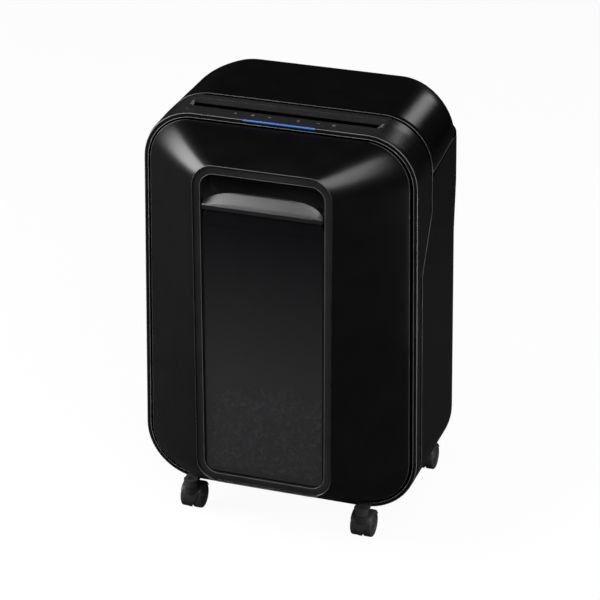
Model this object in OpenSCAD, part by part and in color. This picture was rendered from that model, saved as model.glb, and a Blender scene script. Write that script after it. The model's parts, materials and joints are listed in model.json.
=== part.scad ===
// Deskside paper shredder with a pull-out bin, a geared cutter head and four twin-wheel casters.
// The origin is on the floor under the middle. X points to the right, Y to the back and Z up.

/* [Body] */
// Width of the body near its top
body_w = 344; // [340:1:348]
// How much wider the body is at its bottom
body_flare = 12; // [8:1:14]
// Height of the underside above the floor
body_z0 = 36; // [36:1:37]
// Height of the body's top above the floor
body_z1 = 537; // [535:1:539]
// Place of the front seam, where the pull-out panel meets the collar
seam_y = -71; // [-72:1:-70]
// Place of the back wall's outer face
back_y = 133; // [132:1:136]
// Corner radius of the body's top, seen from the front
top_r = 64; // [60:1:66]
// Corner radius of the body's bottom, seen from the front
bottom_r = 70; // [68:1:72]
// Corner radius of the back, seen from above
back_r = 50; // [46:1:52]
// Wall thickness of the moulded shells
wall = 3; // [2.6:0.2:3.2]

/* [Front panel] */
// How far the pillowed front panel stands in front of its seam
panel_depth = 62; // [60:1:64]
// Gap between the body's outline and the panel's outline
panel_inset = 9.5; // [9:0.5:10]
// Half width of the sunk window frame
frame_hw = 87; // [82:1:88]
// Bottom edge of the sunk window frame
frame_z0 = 75; // [73:1:77]
// Top edge of the sunk window frame
frame_z1 = 497; // [494:1:499]

/* [Paper slot] */
// Length of the paper opening
slot_w = 222; // [216:1:224]
// Width of the paper opening
slot_gap = 11; // [10:0.5:12]
// Place of the middle of the paper opening
slot_y = -43; // [-44:1:-42]

/* [Cutter head] */
// Height of both cutter shafts
cutter_z = 470; // [468:1:471]
// Distance between the cutter shafts, which is the timing gears' pitch diameter
cutter_pitch = 36; // [36]
// Number of discs on each shaft
disc_count = 27; // [25:1:27]
// Outer radius of the cutting discs
disc_r = 20; // [19.5:0.1:20]

/* [Gear train] */
// Teeth on each timing gear
timing_teeth = 18; // [18]
// Teeth on the big gear of the driven cutter shaft
drive_teeth = 40; // [40]
// Teeth on the small gear of the idler
idler_small_teeth = 14; // [14]
// Teeth on the large gear of the idler
idler_large_teeth = 40; // [40]
// Teeth on the motor pinion
pinion_teeth = 12; // [12]

/* [Bin] */
// Half width of the bin tub
tub_hw = 130; // [126:1:131]
// Height of the tub's rim
tub_z1 = 384; // [370:1:386]

/* [Casters] */
// Radius of the caster wheels
wheel_r = 16.5; // [16.5]
// Distance of each front swivel stem from the middle of the body
stem_x_front = 113; // [108:1:113]
// Distance of each rear swivel stem from the middle of the body, set wider against tipping
stem_x_back = 138; // [134:1:138]
// Distance from the stem back to the wheel axle
trail = 12; // [11:0.5:12]

/* [Hidden] */

// Body derived sizes
top_hw = body_w / 2;
bottom_hw = top_hw + body_flare / 2;
panel_y = seam_y - panel_depth;
collar_top_y = -8;
collar_low_y = -48;
jog_z0 = 352;
jog_z1 = 418;
cover_z0 = 468;
cover_rise = 18;
seam_gap = 0.3;

// Slot surround and the opening it fills in the collar
lip_hw = 124;
lip_y0 = slot_y - 14;
lip_y1 = slot_y + 30.5;
lip_rise = 0.8;
lip_depth = 6;
mouth_hw = 122.4;
mouth_y0 = slot_y - 11;
mouth_y1 = slot_y + 20;
mouth_gap = 0.4;
guide_hw = 121;
guide_y1 = slot_y + 18.4;
guide_depth = 5;

// Head places
front_shaft_y = slot_y + 3 - cutter_pitch / 2;
rear_shaft_y = front_shaft_y + cutter_pitch;
disc_t = 4;
disc_step = 8.4;
tooth_w = 3.2;
screw_places = [-80, 0, 80];
screw_y = 20;
screw_r = 1.8;
spacer_r = 12;
hex_r = 8.08;
journal_r = 6;
plate_x = 118;
plate_t = 3;
plate_z0 = 399.3;
plate_z1 = 505;
plate_y0 = -86;
plate_y1 = 96;
tray_z0 = 396;
tray_z1 = 399;
run_gap = 0.05;
rods = [[-76, 430], [-76, 498], [0, 496], [86, 494]];

// Gear places: 2 mm module on the cutters, 1.5 mm module on the motor stage
coarse_module = 2;
fine_module = 1.5;
pressure_angle = 20;
mesh_angle = -30;
idler_distance = coarse_module * (drive_teeth + idler_small_teeth) / 2;
motor_distance = fine_module * (idler_large_teeth + pinion_teeth) / 2;
idler_y = rear_shaft_y + idler_distance * cos(mesh_angle);
idler_z = cutter_z + idler_distance * sin(mesh_angle);
motor_y = idler_y + motor_distance;
motor_z = idler_z;
motor_r = 31;
motor_x0 = 28;
motor_x1 = 116;
pin_r = 4;

// Bin places
ring_hw = 78;
ring_z0 = 85;
pane_hw = 75;
pane_z0 = 88;
pane_z1 = 440;
pocket_z0 = 446;
pocket_z1 = 486;
handle_rise = 15;
handle_depth = 17;
frame_y0 = panel_y + 2;
frame_y1 = panel_y + 7;
tub_y0 = -96;
tub_y1 = 116;
tub_z0 = 58;
tub_front_hw = 106;
tub_front_z0 = 70;
tub_wall = 2.5;

// Back fittings
rocker_x = 100;
rocker_y = 124;
rocker_z = 440;
gland_x = 60;
gland_z = 425;
switch_x = 70;
switch_z = 315;

// Casters
wheel_w = 11.5;
wheel_gap = 4.5;
axle_r = 2.5;
stem_r = 4;
hood_r = 18.6;
stem_y_front = -88;
stem_y_back = 103;

shell_black = [0.05, 0.05, 0.055];
inner_grey = [0.25, 0.25, 0.27];
steel = [0.7, 0.7, 0.72];

// Outline of the body from the front, pulled in all round by an inset
module body_profile(inset) {
    polygon([
        for (a = [-90:15:0]) [bottom_hw - bottom_r + (bottom_r - inset) * cos(a),
            body_z0 + bottom_r + (bottom_r - inset) * sin(a)],
        for (a = [0:15:90]) [top_hw - top_r + (top_r - inset) * cos(a),
            body_z1 - top_r + (top_r - inset) * sin(a)],
        for (a = [90:15:180]) [top_r - top_hw + (top_r - inset) * cos(a),
            body_z1 - top_r + (top_r - inset) * sin(a)],
        for (a = [180:15:270]) [bottom_r - bottom_hw + (bottom_r - inset) * cos(a),
            body_z0 + bottom_r + (bottom_r - inset) * sin(a)]
    ]);
}

// Outline of the body from above, with rounded back corners
module body_plan(inset, front) {
    side = bottom_hw - inset;
    polygon([
        [-side, front],
        [side, front],
        for (a = [0:15:90]) [side - back_r + inset + (back_r - inset) * cos(a),
            back_y - back_r + (back_r - inset) * sin(a)],
        for (a = [90:15:180]) [back_r - inset - side + (back_r - inset) * cos(a),
            back_y - back_r + (back_r - inset) * sin(a)]
    ]);
}

// Prism along Y between two places, from an outline drawn as X and Z
module along_y(y0, y1) {
    translate([0, y1, 0])
        rotate([90, 0, 0])
            linear_extrude(y1 - y0)
                children();
}

// Prism along X between two places, from an outline drawn as Y and Z
module along_x(x0, x1) {
    translate([x0, 0, 0])
        rotate([90, 0, 90])
            linear_extrude(x1 - x0)
                children();
}

// Box between two corners
module block(low, high) {
    translate(low)
        cube(high - low);
}

// The body's solid form, pulled in by an inset
module body_solid(inset, front) {
    intersection() {
        along_y(front, back_y)
            body_profile(inset);
        linear_extrude(600)
            body_plan(inset, front);
    }
}

// The body's hollow shell, open at the front seam
module body_shell() {
    difference() {
        body_solid(0, seam_y);
        body_solid(wall, seam_y - 10);
    }
}

// Rounded rectangle drawn as X and Z
module rounded_opening(half, z0, z1, r) {
    polygon([
        for (a = [0:15:90]) [half - r + r * cos(a), z1 - r + r * sin(a)],
        for (a = [90:15:180]) [r - half + r * cos(a), z1 - r + r * sin(a)],
        for (a = [180:15:270]) [r - half + r * cos(a), z0 + r + r * sin(a)],
        for (a = [270:15:360]) [half - r + r * cos(a), z0 + r + r * sin(a)]
    ]);
}

module rear_housing() {
    color(shell_black)
        difference() {
            intersection() {
                body_shell();
                along_x(-bottom_hw - 5, bottom_hw + 5)
                    polygon([
                        [collar_low_y + seam_gap, 0],
                        [back_y + 5, 0],
                        [back_y + 5, cover_z0 + cover_rise],
                        [collar_top_y + seam_gap, cover_z0],
                        [collar_top_y + seam_gap, jog_z1],
                        [collar_low_y + seam_gap, jog_z0]
                    ]);
            }
            for (i = [0:8])
                block([-95 + 10 * i, back_y - 10, 428], [-91.8 + 10 * i, back_y + 5, 474]);
            block([rocker_x - 10.1, back_y - 10, rocker_z - 17.1],
                [rocker_x + 10.1, back_y + 5, rocker_z + 17.1]);
            translate([gland_x, back_y + 1, gland_z])
                rotate([90, 0, 0])
                    cylinder(h = 10, r = 8.05, $fn = 48);
            for (side = [-1, 1])
                translate([side * stem_x_back, stem_y_back, 0])
                    cylinder(h = body_z0 + 22, r = 9.2, $fn = 48);
            screw_holes();
        }
}

// Clearance holes for the screws that hold the housing to the base plate
module screw_holes() {
    for (x = screw_places)
        translate([x, screw_y, body_z0 - 5])
            cylinder(h = 20, r = screw_r + 0.05, $fn = 32);
}

module top_cover() {
    color(shell_black)
        intersection() {
            body_shell();
            along_x(-bottom_hw - 5, bottom_hw + 5)
                polygon([
                    [collar_top_y + seam_gap, cover_z0 + seam_gap],
                    [back_y + 5, cover_z0 + cover_rise + seam_gap],
                    [back_y + 5, 600],
                    [collar_top_y + seam_gap, 600]
                ]);
        }
}

module front_collar() {
    color(shell_black)
        difference() {
            union() {
                intersection() {
                    body_shell();
                    along_x(-bottom_hw - 5, bottom_hw + 5)
                        polygon([
                            [seam_y, 0],
                            [collar_low_y, 0],
                            [collar_low_y, jog_z0],
                            [collar_top_y, jog_z1],
                            [collar_top_y, 600],
                            [seam_y, 600]
                        ]);
                }
                along_y(seam_y, seam_y + wall)
                    difference() {
                        body_profile(wall / 2);
                        body_profile(panel_inset + 0.3);
                    }
            }
            block([-mouth_hw, mouth_y0, body_z1 - 10], [mouth_hw, mouth_y1, body_z1 + 5]);
            block([-45.4, seam_y - 1, body_z1 - 6], [45.4, seam_y + 4.4, body_z1 + 5]);
            for (side = [-1, 1])
                translate([side * stem_x_front, 0, 0])
                    block([-9.5, seam_y - 1, body_z0 + wall + 0.4], [9.5, seam_y + 5, 46]);
        }
}

// Flush surround of the paper opening, with a slanted guide behind the opening
module slot_lip() {
    paper_back = slot_y + slot_gap / 2;
    color(shell_black)
        difference() {
            union() {
                block([-lip_hw, lip_y0, body_z1], [lip_hw, lip_y1, body_z1 + lip_rise]);
                block([mouth_gap - mouth_hw, mouth_y0 + mouth_gap, body_z1 - lip_depth],
                    [mouth_hw - mouth_gap, mouth_y1 - mouth_gap, body_z1 + lip_rise / 2]);
            }
            block([-slot_w / 2, slot_y - slot_gap / 2, body_z1 - 10],
                [slot_w / 2, paper_back, body_z1 + 10]);
            along_x(-guide_hw, guide_hw)
                polygon([
                    [paper_back - 1, body_z1 - guide_depth],
                    [paper_back + 1, body_z1 - guide_depth],
                    [guide_y1, body_z1 + lip_rise + 0.1],
                    [paper_back - 1, body_z1 + lip_rise + 0.1]
                ]);
        }
}

module paper_chute() {
    color(inner_grey)
        difference() {
            block([-116, slot_y - 9, 493], [116, slot_y + 8, body_z1 - 6.3]);
            block([-slot_w / 2 - 1, slot_y - slot_gap / 2, 480],
                [slot_w / 2 + 1, slot_y + slot_gap / 2, body_z1]);
        }
}

module control_strip() {
    color([0.12, 0.12, 0.13])
        block([-72, seam_y + 4.5, body_z1], [72, slot_y - 15.3, body_z1 + 0.6]);
}

module control_board() {
    color([0.1, 0.35, 0.18]) {
        block([-75, -69, 525], [75, -54.5, 526.6]);
        for (i = [-2:2])
            block([i * 26 - 4, -66, 526.6], [i * 26 + 4, -60, 529]);
    }
}

module light_bar() {
    color([0.1, 0.35, 0.95])
        block([-45, seam_y, body_z1 - 5.6], [45, seam_y + 4, body_z1]);
}

// A socket boss for one swivel stem, reaching down to the underside
module stem_socket(x, y, height) {
    translate([x, y, body_z0])
        cylinder(h = height, r = 9, $fn = 48);
}

module base_plate() {
    low = body_z0 + 4.9;
    high = body_z0 + 8.1;
    color(inner_grey)
        difference() {
            union() {
                block([-112, seam_y + 4, low], [112, back_y - 5, high]);
                for (side = [-1, 1]) {
                    stem_socket(side * stem_x_front, stem_y_front, 8.8);
                    stem_socket(side * stem_x_back, stem_y_back, 15);
                    translate([side * stem_x_front, 0, 0])
                        block([-9, stem_y_front, low], [9, seam_y + 8, high]);
                }
                block([-stem_x_back, stem_y_back - 9, body_z0 + 11],
                    [stem_x_back, stem_y_back + 9, body_z0 + 15]);
                block([-106, stem_y_back - 9, low], [106, stem_y_back + 9, body_z0 + 12]);
                for (x = screw_places)
                    translate([x, screw_y, body_z0 + wall])
                        cylinder(h = 4, r = 5, $fn = 32);
            }
            for (side = [-1, 1]) {
                stem_bore(side * stem_x_front, stem_y_front);
                stem_bore(side * stem_x_back, stem_y_back);
            }
            screw_holes();
        }
}

module stem_bore(x, y) {
    translate([x, y, 0])
        cylinder(h = 60, r = stem_r + run_gap, $fn = 48);
}

module head_tray() {
    color(inner_grey)
        difference() {
            union() {
                translate([0, 0, tray_z0])
                    linear_extrude(tray_z1 - tray_z0)
                        body_plan(10, collar_low_y + 2);
                block([-135, -90, tray_z0], [135, collar_low_y + 3, tray_z1]);
            }
            block([-112, -80, tray_z0 - 5], [112, 0, tray_z1 + 5]);
        }
}

// One bearing plate of the cutter frame, with bush seats and rod holes
module side_plate(x0) {
    difference() {
        block([x0, plate_y0, plate_z0], [x0 + plate_t, plate_y1, plate_z1]);
        along_x(x0 - 5, x0 + 10) {
            for (y = [front_shaft_y, rear_shaft_y])
                translate([y, cutter_z])
                    circle(r = 9, $fn = 48);
            for (rod = rods)
                translate(rod)
                    circle(r = 4, $fn = 32);
        }
    }
}

module side_plate_left() {
    color(steel)
        side_plate(-plate_x - plate_t);
}

module side_plate_right() {
    color(steel)
        difference() {
            side_plate(plate_x);
            along_x(plate_x - 5, plate_x + 10) {
                translate([motor_y, motor_z])
                    circle(r = 12, $fn = 48);
                translate([idler_y, idler_z])
                    circle(r = pin_r, $fn = 48);
            }
        }
}

module tie_rods() {
    color(steel)
        for (rod = rods)
            translate([0, rod[0], rod[1]])
                rotate([0, 90, 0]) {
                    translate([0, 0, -plate_x])
                        cylinder(h = 2 * plate_x, r = 5, $fn = 32);
                    translate([0, 0, -plate_x - 5])
                        cylinder(h = 2 * plate_x + 10, r = 3.95, $fn = 32);
                }
}

// One flanged bush on a cutter shaft, with its flange outside the plate
module shaft_bush(side, y) {
    translate([0, y, cutter_z])
        rotate([0, side * 90, 0])
            difference() {
                union() {
                    translate([0, 0, plate_x - 1.5])
                        cylinder(h = plate_t + 1.5, r = 8.98, $fn = 48);
                    translate([0, 0, plate_x + plate_t])
                        cylinder(h = 1.8, r = 11, $fn = 48);
                }
                translate([0, 0, plate_x - 5])
                    cylinder(h = 20, r = journal_r + run_gap, $fn = 48);
            }
}

module shaft_bushes() {
    color([0.72, 0.55, 0.3])
        for (side = [-1, 1])
            for (y = [front_shaft_y, rear_shaft_y])
                shaft_bush(side, y);
}

// Comb whose teeth reach between the discs of one shaft
module stripper(shaft_y, outward, shift) {
    bar = shaft_y + outward * (disc_r + 2);
    tip = shaft_y + outward * (spacer_r + 1);
    translate([0, 0, cutter_z - 8])
        linear_extrude(16) {
            translate([-plate_x + 0.2, min(bar, bar + outward * 4)])
                square([2 * plate_x - 0.4, 4]);
            for (i = [0:disc_count - 2])
                translate([disc_x(i) + shift + disc_t + (disc_step - disc_t - tooth_w) / 2,
                    min(tip, bar + outward)])
                    square([tooth_w, abs(bar + outward - tip)]);
        }
}

module front_stripper() {
    color(inner_grey)
        stripper(front_shaft_y, -1, 0);
}

module rear_stripper() {
    color(inner_grey)
        stripper(rear_shaft_y, 1, disc_step / 2);
}

module motor_can() {
    color(steel)
        translate([0, motor_y, motor_z])
            rotate([0, 90, 0])
                difference() {
                    translate([0, 0, motor_x0])
                        cylinder(h = motor_x1 - motor_x0, r = motor_r, $fn = 64);
                    translate([0, 0, motor_x0 + 3])
                        cylinder(h = motor_x1 - motor_x0 - 6, r = motor_r - 2.5, $fn = 64);
                    translate([0, 0, motor_x0 - 5])
                        cylinder(h = motor_x1 - motor_x0 + 10, r = pin_r + run_gap, $fn = 48);
                }
    color(steel)
        translate([0, motor_y, motor_z])
            rotate([0, 90, 0])
                difference() {
                    translate([0, 0, motor_x1])
                        cylinder(h = plate_x - motor_x1, r = 16, $fn = 48);
                    translate([0, 0, motor_x1 - 5])
                        cylinder(h = 20, r = 12, $fn = 48);
                }
}

module idler_pin() {
    color(steel)
        translate([0, idler_y, idler_z])
            rotate([0, 90, 0])
                translate([0, 0, plate_x])
                    cylinder(h = 28.8, r = pin_r - 0.01, $fn = 48);
}

module gearbox_plate() {
    color(steel)
        difference() {
            union() {
                block([144.5, -78, 412], [147, 78, plate_z1]);
                along_x(plate_x + plate_t, 145)
                    for (place = [[-60, 498], [70, 484], [-62, 420]])
                        translate(place)
                            circle(r = 4, $fn = 32);
            }
            along_x(140, 150) {
                translate([rear_shaft_y, cutter_z])
                    circle(r = journal_r + run_gap, $fn = 48);
                translate([idler_y, idler_z])
                    circle(r = pin_r, $fn = 48);
            }
        }
}

module main_board() {
    color([0.1, 0.35, 0.18]) {
        block([-112, 106, 420], [-22, 107.6, 496]);
        block([-100, 94, 470], [-74, 106, 490]);
        block([-62, 96, 466], [-46, 106, 488]);
        for (i = [0:2])
            translate([-98 + 16 * i, 106, 436])
                rotate([90, 0, 0])
                    cylinder(h = 11, r = 5, $fn = 32);
        for (x = [-108, -30])
            for (z = [424, 488])
                block([x, 107.6, z], [x + 4, back_y - wall, z + 4]);
    }
}

module run_capacitor() {
    color([0.2, 0.25, 0.35])
        translate([-100, 50, tray_z1 + 17.2])
            rotate([0, 90, 0])
                cylinder(h = 56, r = 16, $fn = 48);
    color(inner_grey)
        block([-80, 30, tray_z1 + 0.2], [-64, 70, tray_z1 + 5]);
}

// Shelf that carries one side of the bin
module bin_rail() {
    block([tub_hw + 4, collar_low_y + 3, 114.4], [174.4, 85, 117.4]);
    block([171.4, collar_low_y + 3, 117], [174.4, 85, 132]);
}

module bin_rails() {
    color(inner_grey) {
        bin_rail();
        mirror([1, 0, 0])
            bin_rail();
    }
}

module bin_switch() {
    color(inner_grey)
        difference() {
            block([switch_x - 6, 119, switch_z - 10], [switch_x + 6, back_y - wall, switch_z + 10]);
            translate([switch_x, 127, switch_z])
                rotate([90, 0, 0])
                    cylinder(h = 20, r = 2 + run_gap, $fn = 32);
        }
}

module rocker_bezel() {
    color(inner_grey)
        difference() {
            block([rocker_x - 10, rocker_y - 4, rocker_z - 17], [rocker_x + 10, back_y, rocker_z + 17]);
            block([rocker_x - 7, rocker_y - 10, rocker_z - 12.9],
                [rocker_x + 7, back_y + 5, rocker_z + 12.9]);
            translate([rocker_x - 8.6, rocker_y, rocker_z])
                rotate([0, 90, 0])
                    cylinder(h = 17.2, r = 1.45, $fn = 32);
        }
}

module cord_gland() {
    color(inner_grey)
        translate([gland_x, 0, gland_z])
            rotate([90, 0, 0])
                difference() {
                    union() {
                        translate([0, 0, -back_y])
                            cylinder(h = 6, r = 8, $fn = 48);
                        translate([0, 0, wall + 0.2 - back_y])
                            cylinder(h = 3, r = 10.5, $fn = 48);
                    }
                    translate([0, 0, -back_y - 5])
                        cylinder(h = 20, r = 4, $fn = 48);
                }
}

module housing_screws() {
    color(steel)
        for (x = screw_places)
            translate([x, screw_y, body_z0 + 0.5])
                difference() {
                    union() {
                        cylinder(h = 8, r = screw_r, $fn = 32);
                        translate([0, 0, 7.6])
                            cylinder(h = 2.2, r = 3.6, $fn = 32);
                    }
                    translate([0, 0, 8.3])
                        cylinder(h = 3, r = 1.6, $fn = 6);
                }
}

// Place of the left face of one disc on the front shaft
function disc_x(i) = (i - (disc_count - 1) / 2) * disc_step - disc_t / 2 - disc_step / 4;

// Cutting disc with eight hooked teeth, drawn in the plane across its shaft
module disc_outline() {
    polygon([
        for (k = [0:7])
            for (step = [[0, 0], [7, 3], [16, 1.3], [30, 0.3]])
                (disc_r - step[1]) * [cos(45 * k + step[0]), sin(45 * k + step[0])]
    ]);
}

// Discs and spacers of one shaft
module disc_stack(shaft_y, shift) {
    difference() {
        union() {
            for (i = [0:disc_count - 1])
                along_x(disc_x(i) + shift, disc_x(i) + shift + disc_t)
                    translate([shaft_y, cutter_z])
                        disc_outline();
            along_x(-plate_x + 1.8, plate_x - 1.8)
                translate([shaft_y, cutter_z])
                    circle(r = spacer_r, $fn = 48);
        }
        along_x(-plate_x, plate_x)
            translate([shaft_y, cutter_z])
                circle(r = hex_r + 0.07, $fn = 6);
    }
}

// Hexagonal shaft with round journals
module cutter_shaft(shaft_y, end_x) {
    translate([0, shaft_y, cutter_z]) {
        rotate([90, 0, 90])
            translate([0, 0, 1.8 - plate_x])
                linear_extrude(2 * plate_x - 3.6)
                    circle(r = hex_r, $fn = 6);
        rotate([0, 90, 0])
            translate([0, 0, -plate_x - 8])
                cylinder(h = plate_x + 8 + end_x, r = journal_r, $fn = 48);
    }
}

module front_cutter_shaft() {
    color(steel)
        cutter_shaft(front_shaft_y, 133);
}

module front_cutter_discs() {
    color([0.55, 0.55, 0.57])
        disc_stack(front_shaft_y, 0);
}

module rear_cutter_shaft() {
    color(steel)
        cutter_shaft(rear_shaft_y, 149);
}

module rear_cutter_discs() {
    color([0.55, 0.55, 0.57])
        disc_stack(rear_shaft_y, disc_step / 2);
}

// Polar angle that an involute has turned through at pressure angle a
function involute_turn(a) = tan(a) * 180 / PI - a;

// Half angle of a tooth at radius r
function tooth_half(module_size, teeth, r) = 90 / teeth - 0.06 / (module_size * teeth) * 180 / PI
    + involute_turn(pressure_angle)
    - involute_turn(acos(min(1, module_size * teeth / 2 * cos(pressure_angle) / r)));

// Spur gear outline whose first tooth points along the turn angle
module gear_outline(module_size, teeth, turn) {
    pitch_r = module_size * teeth / 2;
    root_r = pitch_r - 1.25 * module_size;
    tip_r = pitch_r + 0.78 * module_size;
    base_r = max(pitch_r * cos(pressure_angle), root_r + 0.01);
    radii = [root_r, for (k = [0:4]) base_r + (tip_r - base_r) * k / 4];
    polygon([
        for (k = [0:teeth - 1]) each concat(
            [for (r = radii) let (a = turn + k * 360 / teeth
                - tooth_half(module_size, teeth, max(r, base_r))) r * [cos(a), sin(a)]],
            [for (j = [len(radii) - 1:-1:0]) let (a = turn + k * 360 / teeth
                + tooth_half(module_size, teeth, max(radii[j], base_r))) radii[j] * [cos(a), sin(a)]]
        )
    ]);
}

// Gear between two places on an axis along X
module gear(x0, x1, y, z, module_size, teeth, turn) {
    along_x(x0, x1)
        translate([y, z])
            gear_outline(module_size, teeth, turn);
}

// Gear on a cutter journal
module journal_gear(x0, x1, y, teeth, turn) {
    color([0.45, 0.45, 0.48])
        difference() {
            gear(x0, x1, y, cutter_z, coarse_module, teeth, turn);
            along_x(x0 - 1, x1 + 1)
                translate([y, cutter_z])
                    circle(r = journal_r + 0.005, $fn = 48);
        }
}

module front_timing_gear() {
    journal_gear(124, 132, front_shaft_y, timing_teeth, 0);
}

module rear_timing_gear() {
    journal_gear(124, 132, rear_shaft_y, timing_teeth, 180 / timing_teeth);
}

module drive_gear() {
    journal_gear(134, 142, rear_shaft_y, drive_teeth, mesh_angle);
}

module idler_gear() {
    color([0.85, 0.84, 0.78])
        difference() {
            union() {
                gear(124, 131.5, idler_y, idler_z, fine_module, idler_large_teeth, 0);
                along_x(131, 134.5)
                    translate([idler_y, idler_z])
                        circle(r = 9, $fn = 48);
                gear(134, 142, idler_y, idler_z, coarse_module, idler_small_teeth,
                    mesh_angle + 180 + 180 / idler_small_teeth);
            }
            along_x(120, 145)
                translate([idler_y, idler_z])
                    circle(r = pin_r - 0.01 + run_gap, $fn = 48);
        }
}

module motor_rotor() {
    color(steel)
        translate([0, motor_y, motor_z])
            rotate([0, 90, 0]) {
                translate([0, 0, 12])
                    cylinder(h = 121, r = pin_r, $fn = 48);
                translate([0, 0, 42])
                    cylinder(h = 56, r = 22, $fn = 48);
            }
}

module motor_pinion() {
    color([0.6, 0.55, 0.4])
        difference() {
            gear(124, 131.5, motor_y, motor_z, fine_module, pinion_teeth, 180 + 180 / pinion_teeth);
            along_x(120, 140)
                translate([motor_y, motor_z])
                    circle(r = pin_r + 0.005, $fn = 48);
        }
}

module cooling_fan() {
    color(inner_grey)
        translate([0, motor_y, motor_z])
            rotate([90, 0, 90])
                translate([0, 0, 14])
                    difference() {
                        union() {
                            cylinder(h = 10, r = 8, $fn = 32);
                            for (k = [0:6])
                                rotate([0, 0, k * 360 / 7])
                                    translate([6, -1, 0])
                                        cube([20, 2, 9]);
                        }
                        translate([0, 0, -1])
                            cylinder(h = 12, r = pin_r + 0.005, $fn = 48);
                    }
}

module power_rocker() {
    color([0.1, 0.1, 0.1])
        translate([0, rocker_y, rocker_z])
            rotate([-8, 0, 0]) {
                rotate([90, 0, 90])
                    translate([0, 0, rocker_x - 6.6])
                        linear_extrude(13.2)
                            polygon([[-3, -8], [6.5, -10.5], [4.6, 0], [6.5, 10.5], [-3, 8]]);
                translate([rocker_x - 8.4, 0, 0])
                    rotate([0, 90, 0])
                        cylinder(h = 16.8, r = 1.4, $fn = 32);
            }
}

module switch_plunger() {
    color([0.8, 0.2, 0.15])
        translate([switch_x, 124, switch_z])
            rotate([90, 0, 0])
                cylinder(h = 7.5, r = 2, $fn = 32);
}

// Share of the way along a softened slope between a rounded edge and a flat chamfer
function pillow(share) = pow(max(share, 0), 1.82);

// Pillowed form of the front panel, pulled in by an inset
module panel_form(inset) {
    side = bottom_hw - panel_inset - inset;
    low = body_z0 + panel_inset - 1 + inset;
    high = body_z1 - panel_inset + 1 - inset;
    depth = panel_depth - seam_gap - inset;
    front = seam_y - seam_gap;
    wide = side - frame_hw;
    above = high - frame_z1;
    below = frame_z0 - low;
    intersection() {
        along_y(panel_y - 5, front)
            body_profile(panel_inset + inset);
        linear_extrude(600)
            polygon([
                for (a = [0:10:90]) [frame_hw + wide * pillow(cos(a)), front - depth * pillow(sin(a))],
                for (a = [90:-10:0]) [-frame_hw - wide * pillow(cos(a)), front - depth * pillow(sin(a))]
            ]);
        along_x(-200, 200)
            polygon([
                for (a = [0:10:90]) [front - depth * pillow(sin(a)), frame_z1 + above * pillow(cos(a))],
                for (a = [90:-10:0]) [front - depth * pillow(sin(a)), frame_z0 - below * pillow(cos(a))]
            ]);
    }
}

module front_panel() {
    color(shell_black)
        difference() {
            panel_form(0);
            panel_form(wall);
            along_y(seam_y - 1, seam_y + 1)
                body_profile(panel_inset + wall);
            along_y(panel_y - 10, panel_y + 12)
                rounded_opening(frame_hw, frame_z0, frame_z1, 28);
        }
}

module window_frame() {
    color([0.15, 0.15, 0.16])
        along_y(frame_y0, frame_y1)
            difference() {
                rounded_opening(frame_hw - 0.2, frame_z0 + 0.2, frame_z1 - 0.2, 27.8);
                rounded_opening(ring_hw, ring_z0, pocket_z1, 18);
            }
}

// Closed recess behind the upper part of the frame, where fingers reach over the handle
module finger_pocket() {
    color(shell_black)
        difference() {
            block([-ring_hw - 3, frame_y1, pocket_z0 - 3], [ring_hw + 3, tub_y0 - 0.5, pocket_z1 + 3]);
            block([-ring_hw, frame_y1 - 5, pocket_z0], [ring_hw, tub_y0 - 3, pocket_z1]);
        }
}

// Lens-shaped lip that rises towards the fingers, with a bar along its front
module pull_handle() {
    color(shell_black) {
        intersection() {
            translate([0, 0, pane_z1])
                linear_extrude(30)
                    polygon([
                        for (a = [0:10:180]) [pane_hw * cos(a), panel_y + 1 + handle_depth * sin(a)]
                    ]);
            along_x(-pane_hw, pane_hw)
                polygon([
                    [panel_y, pane_z1 + 0.6],
                    [frame_y1 - 0.2, pane_z1 + 0.6],
                    [frame_y1 - 0.2, pocket_z0],
                    [panel_y + 1 + handle_depth, pocket_z0],
                    [panel_y + 1 + handle_depth, pocket_z0 + handle_rise],
                    [panel_y, pocket_z0 + 0.3]
                ]);
        }
        block([-pane_hw, panel_y + 1, pane_z1 + 0.6], [pane_hw, panel_y + 5, pocket_z0 + 0.3]);
        block([-ring_hw + 0.2, frame_y0 + 1, pane_z1 + 0.6],
            [ring_hw - 0.2, frame_y1 - 0.2, pocket_z0 - 0.4]);
    }
}

// See-through pane standing proud of the thin flange that fills the frame
module bin_window() {
    color([0.2, 0.2, 0.22, 0.5])
        union() {
            along_y(frame_y0 + 1.5, frame_y1 - 1)
                rounded_opening(pane_hw, pane_z0, pane_z1, 12);
            along_y(frame_y1 - 1.2, frame_y1 - 0.1)
                rounded_opening(ring_hw - 0.2, ring_z0 + 0.2, pane_z1 + 0.4, 17.8);
        }
}

module bin_tub() {
    nose_hw = pane_hw + 7.5;
    neck_y = seam_y + 4;
    color([0.3, 0.3, 0.32])
        difference() {
            union() {
                block([-tub_hw, neck_y, tub_z0], [tub_hw, tub_y1, tub_z1]);
                block([-tub_front_hw, tub_y0, tub_front_z0], [tub_front_hw, neck_y + tub_wall, tub_z1]);
                block([-nose_hw, frame_y1, pane_z0 - 8], [nose_hw, tub_y0 + 3, pane_z1 + 2.5]);
                for (side = [-1, 1])
                    translate([side * (tub_hw + 3.9), 0, 0])
                        block([-4, -65, 118], [4, 108, 121]);
            }
            block([tub_wall - tub_hw, neck_y + tub_wall, tub_z0 + tub_wall],
                [tub_hw - tub_wall, tub_y1 - tub_wall, tub_z1 + 100]);
            block([tub_wall - tub_front_hw, tub_y0 + tub_wall, tub_front_z0 + tub_wall],
                [tub_front_hw - tub_wall, neck_y + 10, tub_z1 + 100]);
            block([tub_wall - nose_hw, frame_y1 - 5, pane_z0 - 8 + tub_wall],
                [nose_hw - tub_wall, tub_y0 + 10, pane_z1]);
        }
}

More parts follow.
